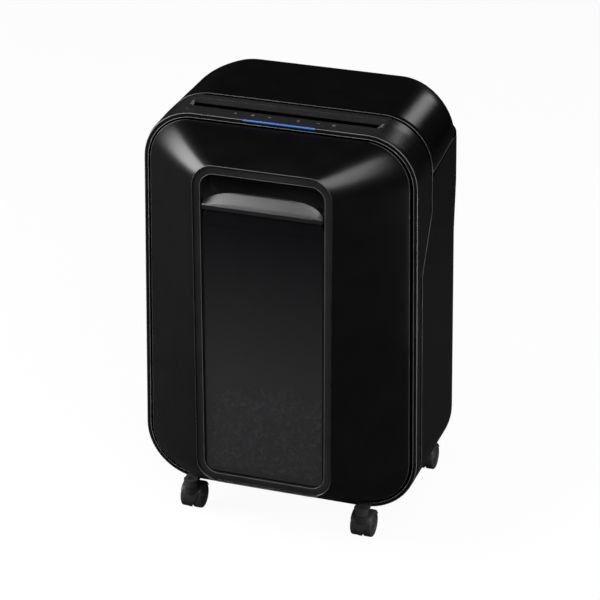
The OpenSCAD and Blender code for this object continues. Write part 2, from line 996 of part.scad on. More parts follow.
// Swivel part of a caster: hood, centre web, axle and stem
module caster(x, stem_y) {
    axle_y = stem_y + trail;
    half = wheel_gap / 2 + wheel_w;
    color(inner_grey)
        translate([x, 0, 0]) {
            difference() {
                union() {
                    intersection() {
                        along_x(-half, half)
                            translate([axle_y, wheel_r])
                                circle(r = hood_r, $fn = 64);
                        along_x(-half, half)
                            polygon([
                                [axle_y, wheel_r],
                                [axle_y + 30, wheel_r + 12],
                                [axle_y + 30, 60],
                                [axle_y - 30, 60],
                                [axle_y - 30, wheel_r - 6]
                            ]);
                    }
                    translate([0, stem_y, 25])
                        cylinder(h = 10.4, r = 8, $fn = 48);
                }
                along_x(-half - 5, half + 5)
                    translate([axle_y, wheel_r])
                        circle(r = wheel_r + 0.6, $fn = 64);
            }
            along_x(-1.6, 1.6)
                difference() {
                    translate([axle_y, wheel_r])
                        circle(r = wheel_r + 0.8, $fn = 64);
                    polygon([
                        [axle_y - 3, 6],
                        [axle_y + 40, 24],
                        [axle_y + 40, -20],
                        [axle_y - 40, -20],
                        [axle_y - 40, 0]
                    ]);
                }
            along_x(-half, half)
                translate([axle_y, wheel_r])
                    circle(r = axle_r, $fn = 32);
            along_x(-2, 2)
                translate([axle_y, wheel_r])
                    circle(r = 5, $fn = 32);
            translate([0, stem_y, 35])
                cylinder(h = 9.5, r = stem_r, $fn = 48);
        }
}

// One wheel of a twin-wheel caster, with a dished outer face
module caster_wheel(x, stem_y, side) {
    axle_y = stem_y + trail;
    inner = wheel_gap / 2;
    outer = inner + wheel_w;
    color([0.18, 0.18, 0.19])
        translate([x, axle_y, wheel_r])
            rotate([0, side * 90, 0])
                difference() {
                    union() {
                        translate([0, 0, inner])
                            cylinder(h = wheel_w - 1, r = wheel_r, $fn = 64);
                        translate([0, 0, outer - 1])
                            cylinder(h = 1, r1 = wheel_r, r2 = wheel_r - 1, $fn = 64);
                    }
                    translate([0, 0, outer - 1.5])
                        cylinder(h = 5, r = wheel_r - 4, $fn = 48);
                    translate([0, 0, inner - 1])
                        cylinder(h = wheel_w + 5, r = axle_r + run_gap, $fn = 48);
                }
}

rear_housing();
top_cover();
front_collar();
slot_lip();
paper_chute();
control_strip();
control_board();
light_bar();
base_plate();
head_tray();
side_plate_left();
side_plate_right();
tie_rods();
shaft_bushes();
front_stripper();
rear_stripper();
motor_can();
idler_pin();
gearbox_plate();
main_board();
run_capacitor();
bin_rails();
bin_switch();
rocker_bezel();
cord_gland();
housing_screws();
front_cutter_shaft();
front_cutter_discs();
front_timing_gear();
rear_cutter_shaft();
rear_cutter_discs();
rear_timing_gear();
drive_gear();
idler_gear();
motor_rotor();
motor_pinion();
cooling_fan();
power_rocker();
switch_plunger();
front_panel();
window_frame();
finger_pocket();
pull_handle();
bin_window();
bin_tub();
caster(-stem_x_front, stem_y_front);  // caster_fl
caster_wheel(-stem_x_front, stem_y_front, -1);  // wheel_fl_left
caster_wheel(-stem_x_front, stem_y_front, 1);  // wheel_fl_right
caster(stem_x_front, stem_y_front);  // caster_fr
caster_wheel(stem_x_front, stem_y_front, -1);  // wheel_fr_left
caster_wheel(stem_x_front, stem_y_front, 1);  // wheel_fr_right
caster(-stem_x_back, stem_y_back);  // caster_rl
caster_wheel(-stem_x_back, stem_y_back, -1);  // wheel_rl_left
caster_wheel(-stem_x_back, stem_y_back, 1);  // wheel_rl_right
caster(stem_x_back, stem_y_back);  // caster_rr
caster_wheel(stem_x_back, stem_y_back, -1);  // wheel_rr_left
caster_wheel(stem_x_back, stem_y_back, 1);  // wheel_rr_right
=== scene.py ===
"""Looks for the deskside paper shredder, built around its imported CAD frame. Lengths are in metres."""
import json
import math
import random

import bmesh
import bpy
from mathutils import Matrix, Vector


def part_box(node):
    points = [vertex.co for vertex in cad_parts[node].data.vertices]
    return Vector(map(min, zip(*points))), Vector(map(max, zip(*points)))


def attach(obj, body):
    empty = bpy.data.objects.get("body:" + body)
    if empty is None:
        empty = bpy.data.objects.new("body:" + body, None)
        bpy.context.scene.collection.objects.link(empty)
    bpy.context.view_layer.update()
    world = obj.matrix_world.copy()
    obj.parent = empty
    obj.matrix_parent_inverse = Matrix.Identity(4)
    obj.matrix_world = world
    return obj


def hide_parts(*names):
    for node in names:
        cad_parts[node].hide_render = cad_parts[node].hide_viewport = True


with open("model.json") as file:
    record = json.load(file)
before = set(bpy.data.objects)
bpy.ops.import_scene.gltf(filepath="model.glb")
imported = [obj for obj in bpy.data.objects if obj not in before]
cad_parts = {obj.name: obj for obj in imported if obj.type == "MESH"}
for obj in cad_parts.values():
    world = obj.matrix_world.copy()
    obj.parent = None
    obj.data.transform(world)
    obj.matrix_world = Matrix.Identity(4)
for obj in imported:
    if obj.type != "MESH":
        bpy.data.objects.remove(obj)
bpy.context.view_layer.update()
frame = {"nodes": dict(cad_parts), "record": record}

MM = 0.001
BODY_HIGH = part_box("rear_housing")[1]
COVER_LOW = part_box("top_cover")[0]
COLLAR_LOW, COLLAR_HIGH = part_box("front_collar")
PANEL_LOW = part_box("front_panel")[0]
FRAME_LOW, FRAME_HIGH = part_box("window_frame")
PANE_LOW, PANE_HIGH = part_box("bin_window")
POCKET_LOW, POCKET_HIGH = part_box("finger_pocket")
HANDLE_LOW, HANDLE_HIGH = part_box("pull_handle")

# The body's outline, as part.scad draws it
HALF_LOW = COLLAR_HIGH.x
HALF_HIGH = HALF_LOW - 6 * MM
FLOOR_GAP = COLLAR_LOW.z
TOP = COLLAR_HIGH.z
CORNER_LOW = 70 * MM
CORNER_HIGH = 64 * MM
FRONT_SEAM = COLLAR_LOW.y
BACK = BODY_HIGH.y
BACK_CORNER = 50 * MM
BACK_EDGE = 13 * MM
WALL = 2.6 * MM

# The panel's rear outline, pulled in from the body's and lowered at the top
PANEL_INSET = 8.9 * MM
PANEL_DROP = 1.7 * MM

# The collar's back seam and its slanted jog
COLLAR_TOP_Y = COLLAR_HIGH.y
COLLAR_LOW_Y = -48 * MM
JOG_LOW = 352 * MM
JOG_HIGH = 418 * MM
COVER_SEAM = COVER_LOW.z
COVER_RISE = 18 * MM
SEAM = 0.35 * MM

# How far the collar and the rear shells stop short of the collar's back seam
GROOVE_AHEAD = 6.2 * MM
GROOVE_BEHIND = 0.6 * MM

# The paper slot, and the opening in the collar that its surround fills
SLOT_Y = -43 * MM
SLOT_HALF = 111 * MM
SLOT_GAP = 11 * MM
MOUTH_HALF = 122.4 * MM


# ---------------------------------------------------------------- outlines
def arc(cx, cz, r, start, stop, count):
    """Points on an arc, both ends included, angles in degrees."""
    turns = [math.radians(start + (stop - start) * k / count) for k in range(count + 1)]
    return [(cx + r * math.cos(a), cz + r * math.sin(a)) for a in turns]


def straight(a, b, stops):
    """Points between two ends at the given fractions."""
    return [(a[0] + (b[0] - a[0]) * s, a[1] + (b[1] - a[1]) * s) for s in stops]


def even(count):
    """Fractions strictly between two ends."""
    return [k / count for k in range(1, count)]


def rounded_loop(half_low, half_high, z0, z1, r_low, r_high, side_stops, across=14, turn=18):
    """Closed loop of (x, z) from the middle of the bottom, up the right side and back down the left."""
    right = [(0.0, z0)]
    right += straight((0.0, z0), (half_low - r_low, z0), even(across))
    right += arc(half_low - r_low, z0 + r_low, r_low, -90, 0, turn)
    right += straight((half_low, z0 + r_low), (half_high, z1 - r_high), side_stops)
    right += arc(half_high - r_high, z1 - r_high, r_high, 0, 90, turn)
    right += straight((half_high - r_high, z1), (0.0, z1), even(across))
    left = [(-x, z) for x, z in reversed(right[1:])]
    return right + [(0.0, z1)] + left


def side_fractions():
    """Fractions up the body's straight side, with stops at both ends of the jog."""
    low, high = FLOOR_GAP + CORNER_LOW, TOP - CORNER_HIGH
    marks = [0.0, (JOG_LOW - low) / (high - low), (JOG_HIGH - low) / (high - low), 1.0]
    stops = []
    for (a, b), count in zip(zip(marks, marks[1:]), (16, 6, 5)):
        stops += [a + (b - a) * k / count for k in range(1, count + 1)]
    return stops[:-1]


SIDE_STOPS = side_fractions()


def body_loop(inset=0.0, top_drop=0.0, side_in=0.0, end_in=0.0):
    """The body's outline pulled in by an inset; the last three narrow it for the rounded back."""
    ease = max(side_in, end_in)
    return rounded_loop(HALF_LOW - inset - side_in, HALF_HIGH - inset - side_in,
                        FLOOR_GAP + inset + end_in, TOP - inset - top_drop - end_in,
                        CORNER_LOW - inset - 0.35 * ease, CORNER_HIGH - inset - 0.35 * ease, SIDE_STOPS)


def corner_in(y, radius):
    """How far a rounded back corner has pulled in at a place along Y."""
    past = min(max(y - (BACK - radius), 0.0), radius)
    return radius - math.sqrt(max(radius * radius - past * past, 0.0))


# ---------------------------------------------------------------- mesh helpers
def new_object(name, verts, faces, sharp=38):
    """Mesh object from points and faces, linked into the scene."""
    mesh = bpy.data.meshes.new(name)
    mesh.from_pydata([tuple(v) for v in verts], [], faces)
    mesh.validate()
    piece = bpy.data.objects.new(name, mesh)
    bpy.context.scene.collection.objects.link(piece)
    tidy_normals(piece, sharp)
    return piece


def tidy_normals(piece, sharp=38):
    """Merges doubles, points the faces outwards and shades smooth up to an angle."""
    bm = bmesh.new()
    bm.from_mesh(piece.data)
    bmesh.ops.remove_doubles(bm, verts=bm.verts, dist=1e-6)
    bmesh.ops.recalc_face_normals(bm, faces=bm.faces)
    bm.to_mesh(piece.data)
    bm.free()
    piece.data.shade_smooth()
    piece.data.set_sharp_from_angle(angle=math.radians(sharp))


def loft(name, rings, closed=True, caps=(False, False), sharp=38):
    """Skin over a row of rings with equal counts; closed rings wrap round, caps close the two ends."""
    count = len(rings[0])
    verts = [p for ring in rings for p in ring]
    faces = []
    span = count if closed else count - 1
    for s in range(len(rings) - 1):
        for i in range(span):
            j = (i + 1) % count
            faces.append((s * count + i, s * count + j, (s + 1) * count + j, (s + 1) * count + i))
    if caps[0]:
        faces.append(tuple(range(count)))
    if caps[1]:
        faces.append(tuple(range((len(rings) - 1) * count, len(rings) * count)))
    return new_object(name, verts, faces, sharp)


def thicken(piece, thickness):
    """Gives a skin its wall, on its inner side."""
    solid = piece.modifiers.new("wall", "SOLIDIFY")
    solid.thickness = thickness
    solid.offset = -1
    solid.use_quality_normals = True


def at_y(points, y):
    """Places (x, z) points at one Y."""
    return [(x, y, z) for x, z in points]


def flat_shape(name, outlines, y0, y1, bevel):
    """Plate in the XZ plane from closed outlines, the first outside and the others holes."""
    data = bpy.data.curves.new(name, "CURVE")
    data.dimensions = "2D"
    data.fill_mode = "BOTH"
    data.extrude = (y1 - y0) / 2 - bevel
    data.bevel_depth = bevel
    data.bevel_resolution = 3
    data.offset = -bevel
    for points in outlines:
        spline = data.splines.new("POLY")
        spline.points.add(len(points) - 1)
        for target, (x, z) in zip(spline.points, points):
            target.co = (x, z, 0, 1)
        spline.use_cyclic_u = True
    source = bpy.data.objects.new(name + "_curve", data)
    bpy.context.scene.collection.objects.link(source)
    bpy.context.view_layer.update()
    mesh = bpy.data.meshes.new_from_object(source)
    bpy.data.objects.remove(source)
    mesh.name = name
    for v in mesh.vertices:
        x, z, depth = v.co
        v.co = (x, (y0 + y1) / 2 - depth, z)
    piece = bpy.data.objects.new(name, mesh)
    bpy.context.scene.collection.objects.link(piece)
    tidy_normals(piece, 35)
    return piece


def opening_loop(half, z0, z1, r, turn=12):
    """Rounded rectangle of (x, z) points, symmetric about X = 0."""
    return (arc(half - r, z1 - r, r, 0, 90, turn) + arc(r - half, z1 - r, r, 90, 180, turn)
            + arc(r - half, z0 + r, r, 180, 270, turn) + arc(half - r, z0 + r, r, 270, 360, turn))


# ---------------------------------------------------------------- materials
def material(name, color, roughness, **sockets):
    """Principled material; returns it with its node tree and shader."""
    mat = bpy.data.materials.new(name)
    mat.use_nodes = True
    shader = mat.node_tree.nodes["Principled BSDF"]
    shader.inputs["Base Color"].default_value = (*color, 1)
    shader.inputs["Roughness"].default_value = roughness
    for socket, value in sockets.items():
        shader.inputs[socket].default_value = value
    return mat, mat.node_tree, shader


def noise(tree, scale, detail=4.0):
    """Noise factor over the piece's own coordinates."""
    coords = tree.nodes.new("ShaderNodeTexCoord")
    node = tree.nodes.new("ShaderNodeTexNoise")
    node.inputs["Scale"].default_value = scale
    node.inputs["Detail"].default_value = detail
    node.inputs["Roughness"].default_value = 0.5
    tree.links.new(coords.outputs["Object"], node.inputs["Vector"])
    return node.outputs["Fac"]


def ramp(tree, source, low, high, start=0.3, stop=0.7):
    """Maps a factor between two grey or colour values."""
    node = tree.nodes.new("ShaderNodeValToRGB")
    node.color_ramp.elements[0].position = start
    node.color_ramp.elements[1].position = stop
    node.color_ramp.elements[0].color = (*low, 1) if isinstance(low, tuple) else (low, low, low, 1)
    node.color_ramp.elements[1].color = (*high, 1) if isinstance(high, tuple) else (high, high, high, 1)
    tree.links.new(source, node.inputs["Fac"])
    return node.outputs["Color"]


def add_bump(tree, shader, height, strength, distance=0.0002):
    """Fine relief on a shader from a height factor."""
    node = tree.nodes.new("ShaderNodeBump")
    node.inputs["Strength"].default_value = strength
    node.inputs["Distance"].default_value = distance
    tree.links.new(height, node.inputs["Height"])
    tree.links.new(node.outputs["Normal"], shader.inputs["Normal"])


def moulded(name, color, roughness, spread=0.06, grain=900.0, strength=0.15, wave=7.0, **sockets):
    """Moulded plastic: fine grain, faint flow waves and uneven gloss."""
    mat, tree, shader = material(name, color, roughness, **sockets)
    patches = noise(tree, wave, 3.0)
    tree.links.new(ramp(tree, patches, roughness - spread, roughness + spread), shader.inputs["Roughness"])
    dark = tuple(c * 0.85 for c in color)
    light = tuple(min(c * 1.15 + 0.001, 1) for c in color)
    tree.links.new(ramp(tree, noise(tree, wave * 4, 5.0), dark, light), shader.inputs["Base Color"])
    add_bump(tree, shader, noise(tree, grain, 2.0), strength)
    return mat


def metal(name, color, roughness):
    """Brushed or ground metal with streaks along X."""
    mat, tree, shader = material(name, color, roughness, Metallic=1.0)
    coords = tree.nodes.new("ShaderNodeTexCoord")
    stretch = tree.nodes.new("ShaderNodeMapping")
    stretch.inputs["Scale"].default_value = (30.0, 400.0, 400.0)
    node = tree.nodes.new("ShaderNodeTexNoise")
    node.inputs["Scale"].default_value = 6.0
    node.inputs["Detail"].default_value = 4.0
    tree.links.new(coords.outputs["Object"], stretch.inputs["Vector"])
    tree.links.new(stretch.outputs["Vector"], node.inputs["Vector"])
    streaks = ramp(tree, node.outputs["Fac"], roughness - 0.08, roughness + 0.1)
    tree.links.new(streaks, shader.inputs["Roughness"])
    add_bump(tree, shader, node.outputs["Fac"], 0.12, 0.0001)
    return mat


def smoked_glass():
    """Tinted see-through plastic of the bin's window."""
    mat, tree, shader = material("smoked_window", (0.010, 0.010, 0.012), 0.16)
    clear = tree.nodes.new("ShaderNodeBsdfTransparent")
    clear.inputs["Color"].default_value = (0.85, 0.85, 0.88, 1)
    mix = tree.nodes.new("ShaderNodeMixShader")
    out = tree.nodes["Material Output"]
    mix.inputs["Fac"].default_value = 0.56
    tree.links.new(clear.outputs["BSDF"], mix.inputs[1])
    tree.links.new(shader.outputs["BSDF"], mix.inputs[2])
    tree.links.new(mix.outputs["Shader"], out.inputs["Surface"])
    tree.links.new(ramp(tree, noise(tree, 9.0, 3.0), 0.16, 0.24), shader.inputs["Roughness"])
    return mat


def glowing(name, color, strength):
    """Lens that gives off its own light."""
    mat, tree, shader = material(name, color, 0.3)
    shader.inputs["Emission Color"].default_value = (*color, 1)
    shader.inputs["Emission Strength"].default_value = strength
    add_bump(tree, shader, noise(tree, 500.0, 2.0), 0.1)
    return mat


def paper():
    """Speckled look of the shredded paper."""
    mat, tree, shader = material("paper_shreds", (0.75, 0.74, 0.7), 0.8)
    spots = noise(tree, 160.0, 2.0)
    speckle = ramp(tree, spots, (0.2, 0.2, 0.21), (0.6, 0.6, 0.58), 0.4, 0.56)
    tree.links.new(speckle, shader.inputs["Base Color"])
    add_bump(tree, shader, noise(tree, 700.0, 2.0), 0.3)
    return mat


GLOSS = moulded("gloss_black", (0.002, 0.002, 0.0022), 0.25, spread=0.03, grain=1200.0, strength=0.05)
PANEL = moulded("panel_black", (0.002, 0.002, 0.0022), 0.28, spread=0.03, grain=1200.0, strength=0.05)
COLLAR = moulded("collar_black", (0.004, 0.004, 0.0045), 0.28, spread=0.03, grain=1200.0, strength=0.08)
SATIN = moulded("satin_black", (0.012, 0.012, 0.013), 0.42, strength=0.3)
RING = moulded("frame_grey", (0.022, 0.022, 0.024), 0.3, spread=0.04, strength=0.12)
# Painted highlights: light greys for thin beads laid along edges, in place of the light that those edges
# catch.
PAINTED_HIGHLIGHT = moulded("painted_highlight_grey", (0.15, 0.15, 0.155), 0.22, spread=0.03, strength=0.1)
RIM_PAINTED_HIGHLIGHT = moulded("rim_painted_highlight_grey", (0.3, 0.3, 0.305), 0.22, spread=0.03, strength=0.1)
# Painted shadow: near-black with no specular reflection, for grooves, gaps and the slot's inside where shade
# falls.
SHADOW = moulded("painted_shadow_black", (0.0005, 0.0005, 0.0005), 0.7, strength=0.2, **{"Specular IOR Level": 0.0})
INNER = moulded("moulded_grey", (0.05, 0.05, 0.055), 0.55, strength=0.35)
TUB = moulded("tub_grey", (0.03, 0.03, 0.032), 0.5, strength=0.3)
DECK = moulded("deck_satin", (0.024, 0.024, 0.025), 0.36, spread=0.04, strength=0.12)
HANDLE = moulded("handle_gloss", (0.018, 0.018, 0.019), 0.22, spread=0.03, strength=0.05)
WHEEL = moulded("wheel_grey", (0.045, 0.045, 0.048), 0.42, strength=0.3)
HOOD = moulded("caster_grey", (0.035, 0.035, 0.038), 0.4, strength=0.3)
SMOKED = smoked_glass()
BLUE = glowing("light_blue", (0.015, 0.13, 0.48), 0.5)
MARK = moulded("mark_grey", (0.35, 0.35, 0.36), 0.5, strength=0.1)
PAPER = paper()
PLATE_STEEL = metal("plate_steel", (0.55, 0.55, 0.57), 0.35)
SHAFT_STEEL = metal("shaft_steel", (0.5, 0.5, 0.52), 0.25)
CUTTER_STEEL = metal("cutter_steel", (0.3, 0.3, 0.32), 0.4)
BRONZE = metal("bronze", (0.6, 0.4, 0.18), 0.35)
ACETAL = moulded("acetal", (0.75, 0.73, 0.65), 0.45)
BOARD = moulded("board_green", (0.02, 0.12, 0.05), 0.4, wave=40.0)
FILM = moulded("capacitor_film", (0.04, 0.06, 0.12), 0.3)
RED = moulded("switch_red", (0.4, 0.03, 0.02), 0.4)

SLOT_LOOKS = {
    "shell": GLOSS, "panel": PANEL, "frame_grey": RING, "smoked": SMOKED, "satin": SATIN, "strip": SATIN,
    "light": BLUE, "inner": INNER, "tub": TUB, "board": BOARD, "plate_steel": PLATE_STEEL,
    "shaft_steel": SHAFT_STEEL, "cutter_steel": CUTTER_STEEL, "gear_steel": CUTTER_STEEL, "bush": BRONZE,
    "gear_plastic": ACETAL, "can": SATIN, "film": FILM, "caster_grey": HOOD, "wheel": WHEEL,
    "rocker": GLOSS, "red": RED,
}


def blend_by_height(mat, start, stop, color, behind=None):
    """Turns a look's colour towards another between two heights, if asked only behind a place along Y; both
    uses here paint light.
    """
    tree = mat.node_tree
    socket = tree.nodes["Principled BSDF"].inputs["Base Color"]
    coords = tree.nodes.new("ShaderNodeTexCoord")
    split = tree.nodes.new("ShaderNodeSeparateXYZ")
    span = tree.nodes.new("ShaderNodeMapRange")
    span.inputs["From Min"].default_value = start
    span.inputs["From Max"].default_value = stop
    mix = tree.nodes.new("ShaderNodeMix")
    mix.data_type = "RGBA"
    near, far = [s for s in mix.inputs if s.type == "RGBA"]
    far.default_value = (*color, 1)
    if socket.links:
        tree.links.new(socket.links[0].from_socket, near)
    else:
        near.default_value = socket.default_value
    tree.links.new(coords.outputs["Object"], split.inputs["Vector"])
    tree.links.new(split.outputs["Z"], span.inputs["Value"])
    share = span.outputs["Result"]
    if behind is not None:
        gate = tree.nodes.new("ShaderNodeMapRange")
        gate.inputs["From Min"].default_value = behind
        gate.inputs["From Max"].default_value = behind + 1.5 * MM
        both = tree.nodes.new("ShaderNodeMath")
        both.operation = "MULTIPLY"
        tree.links.new(split.outputs["Y"], gate.inputs["Value"])
        tree.links.new(share, both.inputs[0])
        tree.links.new(gate.outputs["Result"], both.inputs[1])
        share = both.outputs["Value"]
    tree.links.new(share, mix.inputs["Factor"])
    tree.links.new([s for s in mix.outputs if s.type == "RGBA"][0], socket)


# Painted light: the collar's top is coloured a lighter grey behind the rim, fading to its black down the
# rounded corners, for the light its top reflects.
blend_by_height(COLLAR, TOP - 22 * MM, TOP - 3 * MM, (0.024, 0.024, 0.025), FRONT_SEAM + 2.5 * MM)
# Painted light: the window pane is coloured lighter towards the bottom, from 0.42 m down to 0.22 m.
blend_by_height(SMOKED, 0.42, 0.22, (0.06, 0.06, 0.062))


def dress_cad_nodes():
    """Gives every CAD node the look of its record slot, shaded smooth up to an angle."""
    for part in frame["record"]["subparts"]:
        node = frame["nodes"][part["node"]]
        node.data.materials.clear()
        node.data.materials.append(SLOT_LOOKS[part["material_slot"]])
        node.data.shade_smooth()
        node.data.set_sharp_from_angle(angle=math.radians(32))


def finish_piece(piece, look, body, slot, *nodes):
    """Gives a piece its look and its body, and hides the CAD nodes that it stands for. Its slot is not used.
    """
    piece.data.materials.clear()
    piece.data.materials.append(look)
    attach(piece, body)
    if nodes:
        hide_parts(*nodes)
    return piece


def highlight_bead(name, line, radius, closed, body, slot, node, look=None):
    """Thin rounded bead along a line of (x, y, z) points, light grey by default: a painted highlight on an
    edge.
    """
    data = bpy.data.curves.new(name, "CURVE")
    data.dimensions = "3D"
    data.bevel_depth = radius
    data.bevel_resolution = 2
    spline = data.splines.new("POLY")
    spline.points.add(len(line) - 1)
    for target, place in zip(spline.points, line):
        target.co = (*place, 1)
    spline.use_cyclic_u = closed
    bead = bpy.data.objects.new(name, data)
    bpy.context.scene.collection.objects.link(bead)
    finish_piece(bead, look or PAINTED_HIGHLIGHT, body, slot, node)


# ---------------------------------------------------------------- front panel and its window frame
PILLOW_POWER = 1.82


def matched_opening(half, z0, z1, r):
    """Rounded rectangle with as many points as a body loop, each one across from its mate."""
    return rounded_loop(half, half, z0, z1, r, r, SIDE_STOPS)


def make_front_panel():
    """Pillowed skin from the seam's outline forward to the sunk frame's edge."""
    crease = body_loop(PANEL_INSET, PANEL_DROP)
    gap = 0.2 * MM
    edge = matched_opening(FRAME_HIGH.x + gap, FRAME_LOW.z - gap, FRAME_HIGH.z + gap, 28 * MM)
    front = PANEL_LOW.y
    seam = FRONT_SEAM - 0.4 * MM
    rings = []
    steps = 44
    for k in range(steps + 1):
        turn = math.radians(90 * k / steps)
        out = max(math.cos(turn), 0.0) ** PILLOW_POWER
        ahead = math.sin(turn) ** PILLOW_POWER
        y = seam + (front - seam) * ahead
        rings.append([(e[0] + (c[0] - e[0]) * out, y, e[1] + (c[1] - e[1]) * out)
                      for c, e in zip(crease, edge)])
    rings.append([(x, front + 3.2 * MM, z) for x, z in edge])
    panel = loft("front_panel_shell", rings, sharp=50)
    thicken(panel, WALL)
    finish_piece(panel, PANEL, "bin", "panel", "front_panel")
    # Painted highlight: light grey bead along the panel's rear edge.
    outline = body_loop(PANEL_INSET + 0.5 * MM, PANEL_DROP)
    highlight_bead("panel_edge_highlight", at_y(outline, seam - 0.5 * MM), 0.35 * MM, True,
              "bin", "panel", "front_panel")


RING_HALF = 78 * MM
RING_TOP = 486 * MM
RING_LOW = 85 * MM
PANE_HALF = 75 * MM


def make_window_frame():
    """Sunk ring round the window and the finger opening, with painted highlight beads outside and inside."""
    outer = opening_loop(FRAME_HIGH.x, FRAME_LOW.z, FRAME_HIGH.z, 27.8 * MM)
    inner = opening_loop(RING_HALF, RING_LOW, RING_TOP, 18 * MM)
    ring = flat_shape("window_frame_ring", [outer, inner], FRAME_LOW.y, FRAME_HIGH.y, 1.4 * MM)
    finish_piece(ring, RING, "bin", "frame_grey", "window_frame")
    # Painted highlights: light grey beads round the recess's mouth and the ring's inner edge.
    gap = 0.4 * MM
    outline = opening_loop(FRAME_HIGH.x + gap, FRAME_LOW.z - gap, FRAME_HIGH.z + gap, 28 * MM)
    highlight_bead("recess_edge_highlight", at_y(outline, PANEL_LOW.y + 0.6 * MM), 0.5 * MM, True,
              "bin", "frame_grey", "window_frame")
    highlight_bead("frame_edge_highlight", at_y(inner, FRAME_LOW.y + 0.5 * MM), 0.4 * MM, True,
              "bin", "frame_grey", "window_frame")


def make_window():
    """Pane standing proud of the darker flange ring round its edge."""
    flange_loop = opening_loop(RING_HALF - 0.3 * MM, PANE_LOW.z, PANE_HIGH.z, 17 * MM)
    pane_loop = opening_loop(PANE_HALF, PANE_LOW.z + 3 * MM, PANE_HIGH.z - 0.4 * MM, 10 * MM)
    hole_loop = opening_loop(PANE_HALF - 1 * MM, PANE_LOW.z + 4 * MM, PANE_HIGH.z - 1.4 * MM, 9 * MM)
    flange = flat_shape("window_flange", [flange_loop, hole_loop],
                        PANE_HIGH.y - 1.1 * MM, PANE_HIGH.y, 0.2 * MM)
    pane = flat_shape("window_pane", [pane_loop], PANE_LOW.y, PANE_HIGH.y - 1 * MM, 0.7 * MM)
    finish_piece(flange, SATIN, "bin", "smoked", "bin_window")
    finish_piece(pane, SMOKED, "bin", "smoked", "bin_window")


def make_handle():
    """Lens-shaped lip that rises towards the fingers, its front edge rounded."""
    half = PANE_HALF
    front, back = HANDLE_LOW.y, HANDLE_HIGH.y
    top, low = HANDLE_HIGH.z, HANDLE_LOW.z
    edge = low + 5.4 * MM
    rows = []
    steps = 48
    for i in range(steps + 1):
        along = -1 + 2 * i / steps
        x = half * along
        depth = max((back - front) * math.sqrt(max(1 - abs(along) ** 3, 0.0)), 4 * MM)
        rise = (top - edge) * depth / (back - front)
        row = [(x, front, low), (x, front, edge - 1.4 * MM), (x, front + 0.3 * MM, edge - 0.7 * MM),
               (x, front + 0.9 * MM, edge - 0.1 * MM)]
        for k in range(1, 9):
            share = k / 8
            row.append((x, front + 0.9 * MM + (depth - 1.6 * MM) * share, edge + rise * share - 0.3 * MM))
        row += [(x, front + depth, edge + rise - 1.2 * MM), (x, front + depth, edge - 1 * MM),
                (x, front + 3 * MM, low)]
        rows.append(row)
    handle = loft("handle_lip", rows, caps=(True, True), sharp=40)
    finish_piece(handle, HANDLE, "bin", "shell", "pull_handle")


def make_pocket():
    """Closed recess behind the handle, its mouth inside the frame."""
    y0, y1 = POCKET_LOW.y + 0.2 * MM, POCKET_HIGH.y
    z0, z1 = POCKET_LOW.z, POCKET_HIGH.z
    rings = []
    for inset, y in ((0.0, y1), (0.0, y0), (2.6, y0), (2.6, y1 - 9 * MM),
                     (5, y1 - 4.5 * MM), (10, y1 - 2.6 * MM)):
        loop = opening_loop(POCKET_HIGH.x - inset * MM, z0 + inset * MM, z1 - inset * MM, (20 - inset) * MM)
        rings.append(at_y(loop, y))
    pocket = loft("finger_recess", rings, caps=(True, True), sharp=40)
    finish_piece(pocket, SATIN, "bin", "shell", "finger_pocket")


# ---------------------------------------------------------------- body shells
def collar_seam(z):
    """Place of the collar's back seam at a height."""
    if z >= JOG_HIGH:
        return COLLAR_TOP_Y
    if z <= JOG_LOW:
        return COLLAR_LOW_Y
    return COLLAR_LOW_Y + (COLLAR_TOP_Y - COLLAR_LOW_Y) * (z - JOG_LOW) / (JOG_HIGH - JOG_LOW)


RIM = 5.4 * MM
RIM_IN = 1.4 * MM
RIM_OUT = 1.8 * MM
SLOPE = 3.5 * MM
RIM_FRONT = FRONT_SEAM + 1 * MM
DECK_FRONT = RIM_FRONT + RIM_OUT


def rim_profile():
    """(inset, y) from inside the groove over the rim's inner edge, flat front and outer edge."""
    inner = arc(RIM - RIM_IN, RIM_FRONT + RIM_IN, RIM_IN, 0, -90, 5)
    outer = arc(RIM_OUT, DECK_FRONT, RIM_OUT, -90, -180, 6)
    return inner + outer


def make_collar():
    """Band round the front: groove wall, two-edged rim, then the outer face back to its seam."""
    base = body_loop()
    rings = [at_y(body_loop(inset, SLOPE * (0.85 + 0.15 * inset / RIM)), y) for inset, y in rim_profile()]
    for k in range(1, 15):
        share = k / 14
        ring = []
        for x, z in base:
            y = DECK_FRONT + (collar_seam(z) - GROOVE_AHEAD - DECK_FRONT) * share
            ring.append((x, y, z - deck_fall(y) * smooth_above(z)))
        rings.append(ring)
    collar = loft("collar_shell", rings, sharp=45)
    thicken(collar, WALL)
    cut_slot(collar)
    finish_piece(collar, COLLAR, "cabinet", "shell", "front_collar")
    # Painted highlights: light grey beads along the rim's inner and outer edges.
    for name, inset, y in (("rim_inner_edge_highlight", RIM - 0.45 * MM, RIM_FRONT + 0.5 * MM),
                           ("rim_outer_edge_highlight", 0.6 * MM, RIM_FRONT + 0.6 * MM)):
        loop = body_loop(inset, SLOPE * (0.85 + 0.15 * inset / RIM))
        highlight_bead(name, at_y(loop, y), 0.42 * MM, True, "cabinet", "shell", "front_collar", look=RIM_PAINTED_HIGHLIGHT)


